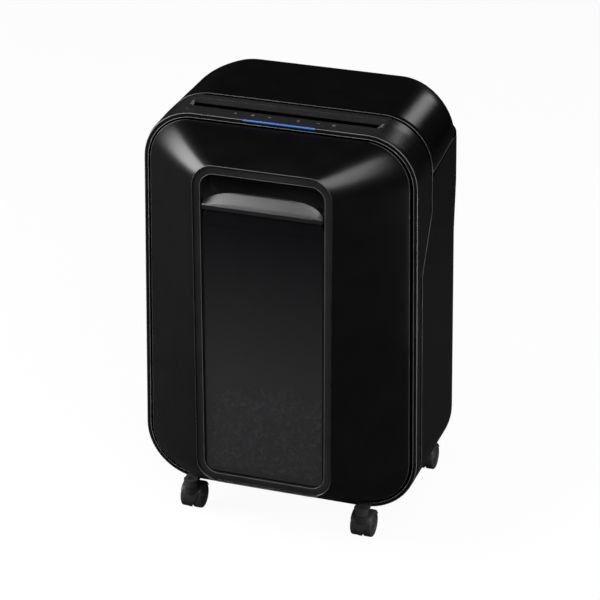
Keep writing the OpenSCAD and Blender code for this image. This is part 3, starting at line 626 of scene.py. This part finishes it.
def make_rim_groove():
    """Step behind the rim that closes the groove round the front panel, in the painted shadow black."""
    floor_y = FRONT_SEAM + 4.2 * MM
    rings = []
    wall, reach, back = RIM - 0.8 * MM, 13 * MM, floor_y + 1 * MM
    for inset, y in ((RIM, RIM_FRONT + RIM_IN), (RIM, floor_y), (reach, floor_y), (reach, back),
                     (wall, back), (wall, RIM_FRONT + RIM_IN)):
        rings.append(at_y(body_loop(inset, SLOPE), y))
    groove = loft("rim_groove", rings + [rings[0]], sharp=40)
    # Painted shadow: the groove's floor and walls in the shadow black.
    finish_piece(groove, SHADOW, "cabinet", "shell", "front_collar")


def make_seam_tongue():
    """Tongue of the collar under the groove between it and the rear shells, in the painted shadow black."""
    rings = []
    for inset, ahead in ((5.0, -8.0), (4.0, -8.0), (4.0, 3.0), (5.0, 3.0)):
        rings.append([(x, collar_seam(z) + ahead * MM, z) for x, z in body_loop(inset * MM)])
    tongue = loft("seam_tongue", rings + [rings[0]], sharp=40)
    finish_piece(tongue, SHADOW, "cabinet", "shell", "front_collar")


def deck_fall(y):
    """How far the collar's top has fallen at a place in front of the slot."""
    return 0.85 * SLOPE * min(max(1 - (y - DECK_FRONT) / (SLOT_Y + 12 * MM - DECK_FRONT), 0.0), 1.2)


def smooth_above(z):
    """1 on the top face, fading to 0 where the corners meet the sides."""
    share = min(max((z - (TOP - CORNER_HIGH)) / CORNER_HIGH, 0.0), 1.0)
    return share * share * (3 - 2 * share)


def box_mesh(name, low, high):
    """Plain box between two corners."""
    corners = [(x, y, z) for x in (low[0], high[0]) for y in (low[1], high[1]) for z in (low[2], high[2])]
    faces = [(0, 1, 3, 2), (4, 6, 7, 5), (0, 4, 5, 1), (2, 3, 7, 6), (0, 2, 6, 4), (1, 5, 7, 3)]
    return new_object(name, corners, faces)


def cut(piece, cutters):
    """Subtracts the cutters from a piece and applies the result."""
    for cutter in cutters:
        tool = piece.modifiers.new("cut", "BOOLEAN")
        tool.operation = "DIFFERENCE"
        tool.solver = "EXACT"
        tool.object = cutter
    bpy.context.view_layer.update()
    final = bpy.data.meshes.new_from_object(piece.evaluated_get(bpy.context.evaluated_depsgraph_get()))
    piece.modifiers.clear()
    piece.data = final
    for cutter in cutters:
        bpy.data.objects.remove(cutter)
    final.shade_smooth()
    final.set_sharp_from_angle(angle=math.radians(32))


def cut_slot(collar):
    """Opening in the collar's top for the slot's surround."""
    cutter = box_mesh("slot_cutter", (-MOUTH_HALF, SLOT_Y - 11 * MM, TOP - 20 * MM),
                      (MOUTH_HALF, SLOT_Y + 20 * MM, TOP + 20 * MM))
    cut(collar, [cutter])


def seam_height(y):
    """Height of the seam between the top cover and the rear housing."""
    return COVER_SEAM + COVER_RISE * (y - COLLAR_TOP_Y) / (BACK - COLLAR_TOP_Y)


def stations():
    """Shares of the way back, closer together where the back is rounded."""
    straight_part = [0.72 * k / 12 for k in range(13)]
    round_part = [0.72 + 0.28 * math.sin(math.radians(90 * k / 16)) for k in range(1, 17)]
    return straight_part + round_part


def split_loop(loop, z_cut):
    """Right-to-left halves of a closed loop above and below a height, each with its ends on that height."""
    half = len(loop) // 2
    right = loop[:half + 1]
    low = [p for p in right if p[1] < z_cut - 0.2 * MM]
    high = [p for p in right if p[1] > z_cut + 0.2 * MM]
    a, b = low[-1], high[0]
    share = (z_cut - a[1]) / (b[1] - a[1])
    meet = (a[0] + (b[0] - a[0]) * share, z_cut)
    return low + [meet], [meet] + high


def spaced(points, count):
    """The same line again with evenly spaced points."""
    lengths = [0.0]
    for p, q in zip(points, points[1:]):
        lengths.append(lengths[-1] + math.dist(p, q))
    result = []
    k = 0
    for i in range(count + 1):
        goal = lengths[-1] * i / count
        while k < len(points) - 2 and lengths[k + 1] < goal:
            k += 1
        share = (goal - lengths[k]) / (lengths[k + 1] - lengths[k])
        result.append(tuple(a + (b - a) * share for a, b in zip(points[k], points[k + 1])))
    return result


def mirrored(half_line):
    """A line from the middle out to the right side, joined to its mirror image."""
    return [(-x, z) for x, z in reversed(half_line)] + half_line[1:]


def make_rear_housing():
    """Lower rear shell: sides, underside and back, its front edge following the collar's jog."""
    rings = []
    for share in stations():
        ring = []
        y_guess = COLLAR_LOW_Y + (BACK - COLLAR_LOW_Y) * share
        side, end = corner_in(y_guess, BACK_CORNER), corner_in(y_guess, BACK_EDGE)
        lower, _ = split_loop(body_loop(0.0, 0.0, side, end), seam_height(y_guess) - SEAM)
        line = mirrored(spaced(lower, 90))
        for x, z in line:
            front = collar_seam(z) + GROOVE_BEHIND
            y = front + (BACK - front) * share
            ring.append((x, y, z))
        rings.append(ring)
    housing = loft("rear_shell", rings, closed=False, sharp=45)
    close_back(housing, rings[-1])
    thicken(housing, WALL)
    return housing


def close_back(piece, ring):
    """Fills the flat back inside the last ring with quads between its left and right halves."""
    bm = bmesh.new()
    bm.from_mesh(piece.data)
    flat = [v for v in bm.verts if v.co.y > ring[0][1] - 0.01 * MM]
    order = [min(flat, key=lambda v: (v.co - Vector(p)).length) for p in ring]
    half = len(order) // 2
    left, right = order[half - 1::-1], order[half + 1:]
    bm.faces.new((order[half], right[0], left[0]))
    for k in range(len(left) - 1):
        bm.faces.new((left[k], right[k], right[k + 1], left[k + 1]))
    bmesh.ops.recalc_face_normals(bm, faces=bm.faces)
    bm.to_mesh(piece.data)
    bm.free()
    piece.data.shade_smooth()
    piece.data.set_sharp_from_angle(angle=math.radians(45))


def make_gearbox_plate():
    """Gearbox plate less its front upper corner, which would come through this panel's skin.

    The CAD's plate keeps that corner and clears the CAD's panel.
    """
    source = frame["nodes"]["gearbox_plate"]
    plate = bpy.data.objects.new("trimmed_gearbox_plate", source.data.copy())
    plate.matrix_world = source.matrix_world.copy()
    bpy.context.scene.collection.objects.link(plate)
    low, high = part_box("gearbox_plate")
    cut(plate, [box_mesh("corner_cutter", (high.x - 5 * MM, low.y - 5 * MM, high.z - 20 * MM),
                         (high.x + 5 * MM, low.y + 9 * MM, high.z + 5 * MM))])
    finish_piece(plate, PLATE_STEEL, "cabinet", "plate_steel", "gearbox_plate")


def make_top_cover():
    """Upper rear shell above the side seam, with a painted highlight bead along its front."""
    rings = []
    for share in stations():
        y = COLLAR_TOP_Y + GROOVE_BEHIND + (BACK - COLLAR_TOP_Y - GROOVE_BEHIND) * share
        side, end = corner_in(y, BACK_CORNER), corner_in(y, BACK_EDGE)
        _, upper = split_loop(body_loop(0.0, 0.0, side, end), seam_height(y) + SEAM)
        line = spaced(list(reversed(upper)), 60)
        rings.append(at_y(mirrored(line), y))
    cover = loft("top_shell", rings, closed=False, sharp=45)
    close_back(cover, rings[-1])
    thicken(cover, WALL)
    finish_piece(cover, GLOSS, "cabinet", "shell", "top_cover")
    # Painted highlight: light grey bead along the cover's front edge.
    front = COLLAR_TOP_Y + GROOVE_BEHIND + 0.15 * MM
    _, upper = split_loop(body_loop(0.45 * MM), seam_height(front) + 0.6 * MM)
    highlight_bead("cover_edge_highlight", at_y(mirrored(list(reversed(upper))), front), 0.42 * MM, False,
              "cabinet", "shell", "top_cover")


def make_housing_edge_highlights():
    """Painted highlight beads along the rear housing's front edge, down each side, across below and up again,
    and along the side seams under the top cover.
    """
    lower, _ = split_loop(body_loop(0.45 * MM), COVER_SEAM - 0.6 * MM)
    line = [(x, collar_seam(z) + GROOVE_BEHIND + 0.15 * MM, z) for x, z in mirrored(lower)]
    highlight_bead("housing_edge_highlight", line, 0.42 * MM, False, "cabinet", "shell", "rear_housing")
    # Painted highlights: light grey beads along the side seams under the top cover.
    for side, word in ((-1, "left"), (1, "right")):
        places = []
        for k in range(25):
            y = COLLAR_TOP_Y + 2 * MM + (BACK - BACK_CORNER - COLLAR_TOP_Y) * k / 24
            z = seam_height(y)
            places.append((side * (side_at(z) - 0.12 * MM), y, z - 0.5 * MM))
        highlight_bead(f"cover_seam_edge_highlight_{word}", places, 0.3 * MM, False, "cabinet", "shell", "rear_housing")


def side_at(z):
    """Half width of the body at a height on its straight side."""
    low, high = FLOOR_GAP + CORNER_LOW, TOP - CORNER_HIGH
    return HALF_LOW + (HALF_HIGH - HALF_LOW) * (z - low) / (high - low)


def rear_with_openings():
    """Rear housing with its openings for the rocker's bezel, the vents and the cord gland."""
    housing = make_rear_housing()
    bezel_low, bezel_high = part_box("rocker_bezel")
    gland_low, gland_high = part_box("cord_gland")
    inside, outside = BACK - 12 * MM, BACK + 5 * MM
    cutters = [box_mesh("bezel_cutter", (bezel_low.x, inside, bezel_low.z),
                        (bezel_high.x, outside, bezel_high.z))]
    for k in range(9):
        x = (-95 + 10 * k) * MM
        cutters.append(box_mesh(f"vent_cutter_{k}", (x, inside, 428 * MM), (x + 3.2 * MM, outside, 474 * MM)))
    centre = ((gland_low.x + gland_high.x) / 2, (gland_low.z + gland_high.z) / 2)
    circle = arc(centre[0], centre[1], 8.05 * MM, 0, 360, 40)[:-1]
    cutters.append(loft("gland_cutter", [at_y(circle, inside), at_y(circle, outside)], caps=(True, True)))
    cut(housing, cutters)
    finish_piece(housing, GLOSS, "cabinet", "shell", "rear_housing")


# ---------------------------------------------------------------- paper slot and controls
def plan_loop(half, y0, y1, r, z_of, turn=8):
    """Rounded rectangle seen from above, its height given by a function of Y."""
    points = (arc(half - r, y1 - r, r, 0, 90, turn) + arc(r - half, y1 - r, r, 90, 180, turn)
              + arc(r - half, y0 + r, r, 180, 270, turn) + arc(half - r, y0 + r, r, 270, 360, turn))
    return [(x, y, z_of(y)) for x, y in points]


def deck_height(y):
    """Top of the deck round the slot, a touch above the collar."""
    return TOP - deck_fall(y) + 0.12 * MM


def make_slot_surround():
    """Flush plate round the paper opening: short front lip, slanted guide behind and pointed ends; painted
    shadow in the opening and along the guide, painted highlight on the ends.
    """
    y0, y1 = SLOT_Y - 14 * MM, COLLAR_TOP_Y - 7 * MM
    half = 124 * MM
    front, back = SLOT_Y - SLOT_GAP / 2, SLOT_Y + SLOT_GAP / 2
    rings = [plan_loop(half, y0, y1, 6 * MM, lambda y: deck_height(y) - 2.4 * MM),
             plan_loop(half, y0, y1, 6 * MM, deck_height)]
    guide = ((10.5, 0.8, 13.2, 0.0), (10.0, 0.4, 12.8, 0.4), (7.5, 0.0, 0.8, 1.9))
    for end, ahead, behind, drop in guide:
        rings.append(plan_loop(SLOT_HALF + end * MM, front - ahead * MM, back + behind * MM, 3 * MM,
                               lambda y, d=drop: deck_height(y) - d * MM))
    surround = loft("slot_surround", rings, sharp=32)
    finish_piece(surround, DECK, "cabinet", "shell", "slot_lip")
    # Painted shadow: the opening's inner walls in the shadow black.
    throat = loft("slot_throat", [
        plan_loop(SLOT_HALF + 7.5 * MM, front, back + 0.8 * MM, 3 * MM,
                  lambda y: deck_height(y) - 1.9 * MM),
        plan_loop(SLOT_HALF + 7 * MM, front, back, 3 * MM, lambda y: deck_height(y) - 2.6 * MM),
        plan_loop(SLOT_HALF + 6 * MM, front, back, 3 * MM, lambda y: deck_height(y) - 5.6 * MM),
        plan_loop(SLOT_HALF, front, back, 3 * MM, lambda y: deck_height(y) - 6 * MM),
        plan_loop(SLOT_HALF, front, back, 3 * MM, lambda y: deck_height(y) - 16 * MM)], sharp=32)
    finish_piece(throat, SHADOW, "cabinet", "shell", "slot_lip")
    # Painted shadow: a thin dark strip along the guide's edge, where a step's shade would fall.
    crease = loft("guide_painted_shadow", [
        plan_loop(SLOT_HALF + 10.6 * MM, front - 0.9 * MM, back + 14.0 * MM, 3 * MM,
                  lambda y: deck_height(y) + 0.02 * MM),
        plan_loop(SLOT_HALF + 10.2 * MM, front - 0.5 * MM, back + 12.9 * MM, 3 * MM,
                  lambda y: deck_height(y) - 0.2 * MM)], sharp=32)
    finish_piece(crease, SHADOW, "cabinet", "shell", "slot_lip")
    # Painted highlight: light grey wedges at the slot's pointed ends.
    for side, word in ((-1, "left"), (1, "right")):
        point = (SLOT_HALF + 9.6 * MM) * side
        tip = [((SLOT_HALF + 4 * MM) * side, front - 0.2 * MM), (point, SLOT_Y - 1 * MM),
               (point, back + 2 * MM), ((SLOT_HALF + 7 * MM) * side, back + 1 * MM)]
        layers = [[(x, y, deck_height(y) + dz * MM) for x, y in tip] for dz in (-0.7, 0.1)]
        wedge = loft(f"slot_tip_highlight_{word}", layers, caps=(True, True), sharp=32)
        finish_piece(wedge, PAINTED_HIGHLIGHT, "cabinet", "shell", "slot_lip")


def make_board():
    """Control board set back from the groove round the front panel, with its touch pads."""
    low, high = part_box("control_board")
    front = FRONT_SEAM + 6 * MM
    board = box_mesh("touch_board", (low.x, front, low.z), (high.x, high.y, low.z + 1.6 * MM))
    finish_piece(board, BOARD, "cabinet", "board", "control_board")
    for k in range(-2, 3):
        pad = box_mesh(f"touch_pad_{k + 2}", ((26 * k - 4) * MM, front + 2 * MM, low.z + 1.6 * MM),
                       ((26 * k + 4) * MM, front + 7 * MM, high.z))
        finish_piece(pad, BOARD, "cabinet", "board", "control_board")


def mark_mesh(name, kind, x, y, size):
    """Small generic touch mark lying on the control surface."""
    lines = {
        "ring": [[(math.cos(a), math.sin(a)) for a in [math.radians(20 * k) for k in range(19)]]],
        "arrow": [[(-1, -0.2), (0, 0.9), (1, -0.2)], [(0, 0.9), (0, -1)]],
        "bars": [[(-0.8, -0.8), (-0.8, 0.8)], [(0, -0.8), (0, 0.8)], [(0.8, -0.8), (0.8, 0.8)]],
        "sheet": [[(-0.7, -1), (0.7, -1), (0.7, 1), (-0.7, 1), (-0.7, -1)]],
        "dot": [[(-0.25, 0), (0.25, 0)]],
    }[kind]
    data = bpy.data.curves.new(name, "CURVE")
    data.dimensions = "3D"
    data.bevel_depth = 0.22 * MM
    data.bevel_resolution = 1
    for line in lines:
        spline = data.splines.new("POLY")
        spline.points.add(len(line) - 1)
        for target, (u, v) in zip(spline.points, line):
            py = y + v * size
            target.co = (x + u * size, py, deck_height(py) + 0.05 * MM, 1)
    mark = bpy.data.objects.new(name, data)
    bpy.context.scene.collection.objects.link(mark)
    finish_piece(mark, MARK, "cabinet", "strip")


def make_controls():
    """Generic touch marks, a small status mark and the touch strip."""
    places = [("arrow", -59), ("ring", -37), ("bars", -16), ("sheet", 20), ("bars", 45), ("ring", 64)]
    for k, (kind, x) in enumerate(places):
        mark_mesh(f"touch_mark_{k}", kind, x * MM, FRONT_SEAM + 14.5 * MM, 1.7 * MM)
    mark_mesh("status_mark", "dot", 52 * MM, FRONT_SEAM + 10.5 * MM, 1.7 * MM)
    low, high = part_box("control_strip")
    strip = loft("touch_strip", [
        plan_loop(high.x, low.y - 0.5 * MM, high.y, 1 * MM, lambda y: deck_height(y) - 0.6 * MM),
        plan_loop(high.x - 0.2 * MM, low.y - 0.3 * MM, high.y - 0.2 * MM, 1 * MM,
                  lambda y: deck_height(y) + 0.03 * MM)],
        caps=(True, True), sharp=40)
    finish_piece(strip, DECK, "cabinet", "strip", "control_strip")


def make_light_bar():
    """Lens of the status light, wrapped over the rim's outer edge."""
    low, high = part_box("light_bar")
    edge_z = TOP - 0.85 * SLOPE - RIM_OUT
    outer = arc(DECK_FRONT, edge_z, RIM_OUT + 0.2 * MM, 176, 112, 8)
    inner = arc(DECK_FRONT, edge_z, RIM_OUT - 1 * MM, 112, 176, 4)
    ends = [[(x, y, z) for y, z in outer + inner] for x in (low.x, high.x)]
    bar = loft("status_light", ends, caps=(True, True), sharp=50)
    finish_piece(bar, BLUE, "cabinet", "light", "light_bar")


# ---------------------------------------------------------------- casters
WHEEL_R = 16.5 * MM
AXLE_TRAIL = 12 * MM
CORNERS = (("fl", -113, -88), ("fr", 113, -88), ("rl", -138, 103), ("rr", 138, 103))


def lathe_x(name, profile, centre, steps=56):
    """Turned shape about an X axis from (x, r) points."""
    rings = []
    for k in range(steps):
        turn = 2 * math.pi * k / steps
        rings.append([(centre[0] + x, centre[1] + r * math.cos(turn), centre[2] + r * math.sin(turn))
                      for x, r in profile])
    rings.append(rings[0])
    return loft(name, rings, closed=False, sharp=35)


def make_wheel(corner, x, y, side):
    """Twin caster's wheel: rounded tread, dished face with a raised hub."""
    inner, outer = 2.35, 13.6
    shape = [(inner, 2.6), (inner, 14.6), (inner + 0.8, 16.2), (inner + 1.6, 16.5), (outer - 2.2, 16.5),
             (outer - 0.8, 16.1), (outer, 14.9), (outer, 12.9), (outer - 0.5, 12.4), (outer - 1.2, 12.1),
             (outer - 1.5, 11.2), (outer - 1.5, 6.4), (outer - 1.2, 5.8), (outer - 0.4, 5.4),
             (outer - 0.3, 2.6)]
    profile = [(side * a * MM, r * MM) for a, r in shape]
    word = "left" if side < 0 else "right"
    wheel = lathe_x(f"tread_{corner}_{word}", profile + [profile[0]], (x, y + AXLE_TRAIL, WHEEL_R))
    finish_piece(wheel, WHEEL, f"roll_{corner}_{word}", "wheel", f"wheel_{corner}_{word}")


def make_caster(corner, x, y):
    """Hood over both wheels, narrowing to a tongue between them, with its web, axle and stem."""
    cy = y + AXLE_TRAIL
    rows = []
    count = 26
    for k in range(count + 1):
        share = k / count
        turn = math.radians(22 + (215 - 22) * share)
        wide = 13.4 * MM if share < 0.62 else (13.4 - 10.9 * ((share - 0.62) / 0.38) ** 0.8) * MM
        outer, under = 18.4 * MM, 17.1 * MM
        ring = []
        for u, r in ((-1, under), (-1, outer - 0.9 * MM), (-0.94, outer - 0.2 * MM), (-0.8, outer),
                     (0.8, outer), (0.94, outer - 0.2 * MM), (1, outer - 0.9 * MM), (1, under)):
            ring.append((x + u * wide, cy + r * math.cos(turn), WHEEL_R + r * math.sin(turn)))
        rows.append(ring)
    hood = loft(f"hood_{corner}", rows, caps=(True, True), sharp=45)
    web_loop = arc(cy, WHEEL_R, 17.2 * MM, 24, 196, 24) + [(cy - 3 * MM, 6 * MM), (cy + 5 * MM, 8 * MM)]
    web = loft(f"web_{corner}", [[(x + s * 1.5 * MM, py, pz) for py, pz in web_loop] for s in (-1, 1)],
               caps=(True, True), sharp=40)
    axle = lathe_x(f"axle_{corner}", [(-13.2 * MM, 0.1 * MM), (-13.2 * MM, 2.4 * MM), (13.2 * MM, 2.4 * MM),
                                      (13.2 * MM, 0.1 * MM)], (x, cy, WHEEL_R), 24)
    rings = []
    for r, z in ((7.6, 26), (7.9, 33), (7.9, 35), (7.2, 35.4), (3.9, 35.4), (3.9, 44.2), (3.2, 44.4)):
        rings.append([(x + r * MM * math.cos(a), y + r * MM * math.sin(a), z * MM)
                      for a in [2 * math.pi * k / 40 for k in range(40)]])
    stem = loft(f"stem_{corner}", rings, caps=(True, True), sharp=35)
    for piece, look in ((hood, HOOD), (web, HOOD), (axle, SHAFT_STEEL), (stem, HOOD)):
        finish_piece(piece, look, f"swivel_{corner}", "caster_grey", f"caster_{corner}")


# ---------------------------------------------------------------- what is in the bin
def make_shreds():
    """Cross-cut chips heaped behind the window."""
    rng = random.Random(11)
    verts, faces = [], []
    count = 1500
    for _ in range(count):
        x = rng.uniform(-0.072, 0.072)
        crest = 0.184 + 0.006 * math.sin(38 * x + 1) + 0.005 * math.sin(110 * x)
        z = rng.uniform(0.092, crest)
        y = rng.uniform(-0.123, -0.106) if rng.random() < 0.7 else rng.uniform(-0.106, -0.08)
        turn, tilt, roll = rng.uniform(0, 6.28), rng.uniform(-1.3, 1.3), rng.uniform(0, 6.28)
        along = Vector((math.cos(turn) * math.cos(tilt), math.sin(turn) * 0.35, math.sin(tilt)))
        along.normalize()
        side = along.cross(Vector((math.sin(roll), 1.2, math.cos(roll)))).normalized()
        out = along.cross(side)
        length, width, curl = rng.uniform(3, 8) * MM, 1.9 * MM, rng.uniform(-2.0, 2.0) * MM
        centre = Vector((x, y, z))
        base = len(verts)
        for s, lift in ((-1, 0), (0, 1), (1, 0)):
            for w in (-1, 1):
                p = centre + along * (s * length) + side * (w * width) + out * (lift * curl)
                p.x = min(max(p.x, -0.0785), 0.0785)
                p.y = max(p.y, -0.1245)
                p.z = max(p.z, 0.0885)
                verts.append(p)
        faces += [(base, base + 1, base + 3, base + 2), (base + 2, base + 3, base + 5, base + 4)]
    mesh = bpy.data.meshes.new("paper_chips")
    mesh.from_pydata([tuple(v) for v in verts], [], faces)
    chips = bpy.data.objects.new("paper_chips", mesh)
    bpy.context.scene.collection.objects.link(chips)
    finish_piece(chips, PAPER, "bin", "tub")


# ---------------------------------------------------------------- camera, light and floor
def make_camera():
    """Long lens from the front right and above."""
    azimuth, elevation, distance = math.radians(18.76), math.radians(25.56), 3.257
    back = Vector((math.sin(azimuth) * math.cos(elevation), -math.cos(azimuth) * math.cos(elevation),
                   math.sin(elevation)))
    right = Vector((0, 0, 1)).cross(back).normalized()
    up = back.cross(right)
    target = Vector((0, 0.027, 0.2733)) + right * -0.00595 + up * -0.0116
    data = bpy.data.cameras.new("camera")
    data.lens = 156
    data.sensor_width = 36
    data.clip_end = 50
    camera = bpy.data.objects.new("camera", data)
    camera.location = target + back * distance
    camera.rotation_euler = back.to_track_quat("Z", "Y").to_euler()
    bpy.context.scene.collection.objects.link(camera)
    bpy.context.scene.camera = camera


def softbox(name, direction, distance, size, power):
    """Area light in a direction from the middle of the object, its width level with the floor."""
    data = bpy.data.lights.new(name, "AREA")
    data.shape = "RECTANGLE"
    data.size, data.size_y = size
    data.energy = power
    aim = Vector(direction).normalized()
    across = Vector((1, 0, 0)) if abs(aim.z) > 0.8 else Vector((0, 0, 1)).cross(aim)
    across = (across - aim * across.dot(aim)).normalized()
    upward = aim.cross(across)
    light = bpy.data.objects.new(name, data)
    light.matrix_world = Matrix((across, upward, aim)).transposed().to_4x4()
    light.location = Vector((0, 0, 0.3)) + aim * distance
    light.visible_camera = False
    bpy.context.scene.collection.objects.link(light)
    return light


def camera_only(tree, seen, unseen):
    """Shader that the camera sees as one thing and the object as another."""
    path = tree.nodes.new("ShaderNodeLightPath")
    mix = tree.nodes.new("ShaderNodeMixShader")
    tree.links.new(path.outputs["Is Camera Ray"], mix.inputs["Fac"])
    tree.links.new(unseen, mix.inputs[1])
    tree.links.new(seen, mix.inputs[2])
    return mix.outputs["Shader"]


def make_world():
    """White to the camera, nearly dark to the object."""
    world = bpy.data.worlds.new("studio")
    world.use_nodes = True
    tree = world.node_tree
    dim = tree.nodes["Background"]
    dim.inputs["Color"].default_value = (0.9, 0.93, 1.0, 1)
    dim.inputs["Strength"].default_value = 0.016
    white = tree.nodes.new("ShaderNodeBackground")
    white.inputs["Color"].default_value = (1, 1, 1, 1)
    white.inputs["Strength"].default_value = 1.0
    output = tree.nodes["World Output"]
    backdrop = camera_only(tree, white.outputs["Background"], dim.outputs["Background"])
    tree.links.new(backdrop, output.inputs["Surface"])
    bpy.context.scene.world = world
    bpy.context.scene.view_settings.view_transform = "Standard"


def make_floor():
    """White to the camera, a dim floor to the object."""
    reach = 12.0
    corners = [(-reach, -reach, 0), (reach, -reach, 0), (reach, reach, 0), (-reach, reach, 0)]
    floor = new_object("floor", corners, [(0, 1, 2, 3)])
    mat, tree, shader = material("floor_white", (0.04, 0.04, 0.04), 0.8)
    glow = tree.nodes.new("ShaderNodeEmission")
    glow.inputs["Color"].default_value = (1, 1, 1, 1)
    glow.inputs["Strength"].default_value = 0.95
    both = tree.nodes.new("ShaderNodeAddShader")
    tree.links.new(shader.outputs["BSDF"], both.inputs[0])
    tree.links.new(glow.outputs["Emission"], both.inputs[1])
    seen = camera_only(tree, both.outputs["Shader"], shader.outputs["BSDF"])
    tree.links.new(seen, tree.nodes["Material Output"].inputs["Surface"])
    floor.data.materials.append(mat)


def strip_at(name, place, facing, size, power):
    """Upright strip light at a place beside the object."""
    light = softbox(name, facing, 1.0, size, power)
    light.location = Vector(place)


def make_lights():
    """Large boxes off both front corners, a front strip, a rear box and a thin strip at the right."""
    softbox("left_corner", (-0.86, -0.30, 0.40), 2.4, (1.3, 1.3), 50)
    softbox("right_corner", (0.44, -0.62, 0.64), 2.6, (1.6, 1.6), 36)
    softbox("front_strip", (-0.38, -0.42, 0.83), 2.2, (0.5, 0.14), 5)
    softbox("rear_right", (0.23, 0.85, 0.47), 2.6, (0.5, 0.7), 2.6)
    strip_at("right_strip", (0.62, 0.05, 0.15), (1, 0, 0), (0.03, 0.28), 0.9)


make_camera()
make_world()
make_floor()
make_lights()
dress_cad_nodes()
make_front_panel()
make_window_frame()
make_window()
make_handle()
make_pocket()
make_collar()
make_rim_groove()
make_seam_tongue()
rear_with_openings()
make_top_cover()
make_housing_edge_highlights()
make_gearbox_plate()
make_slot_surround()
make_board()
make_controls()
make_light_bar()
for corner, x, y in CORNERS:
    make_caster(corner, x * MM, y * MM)
    for side in (-1, 1):
        make_wheel(corner, x * MM, y * MM, side)
make_shreds()
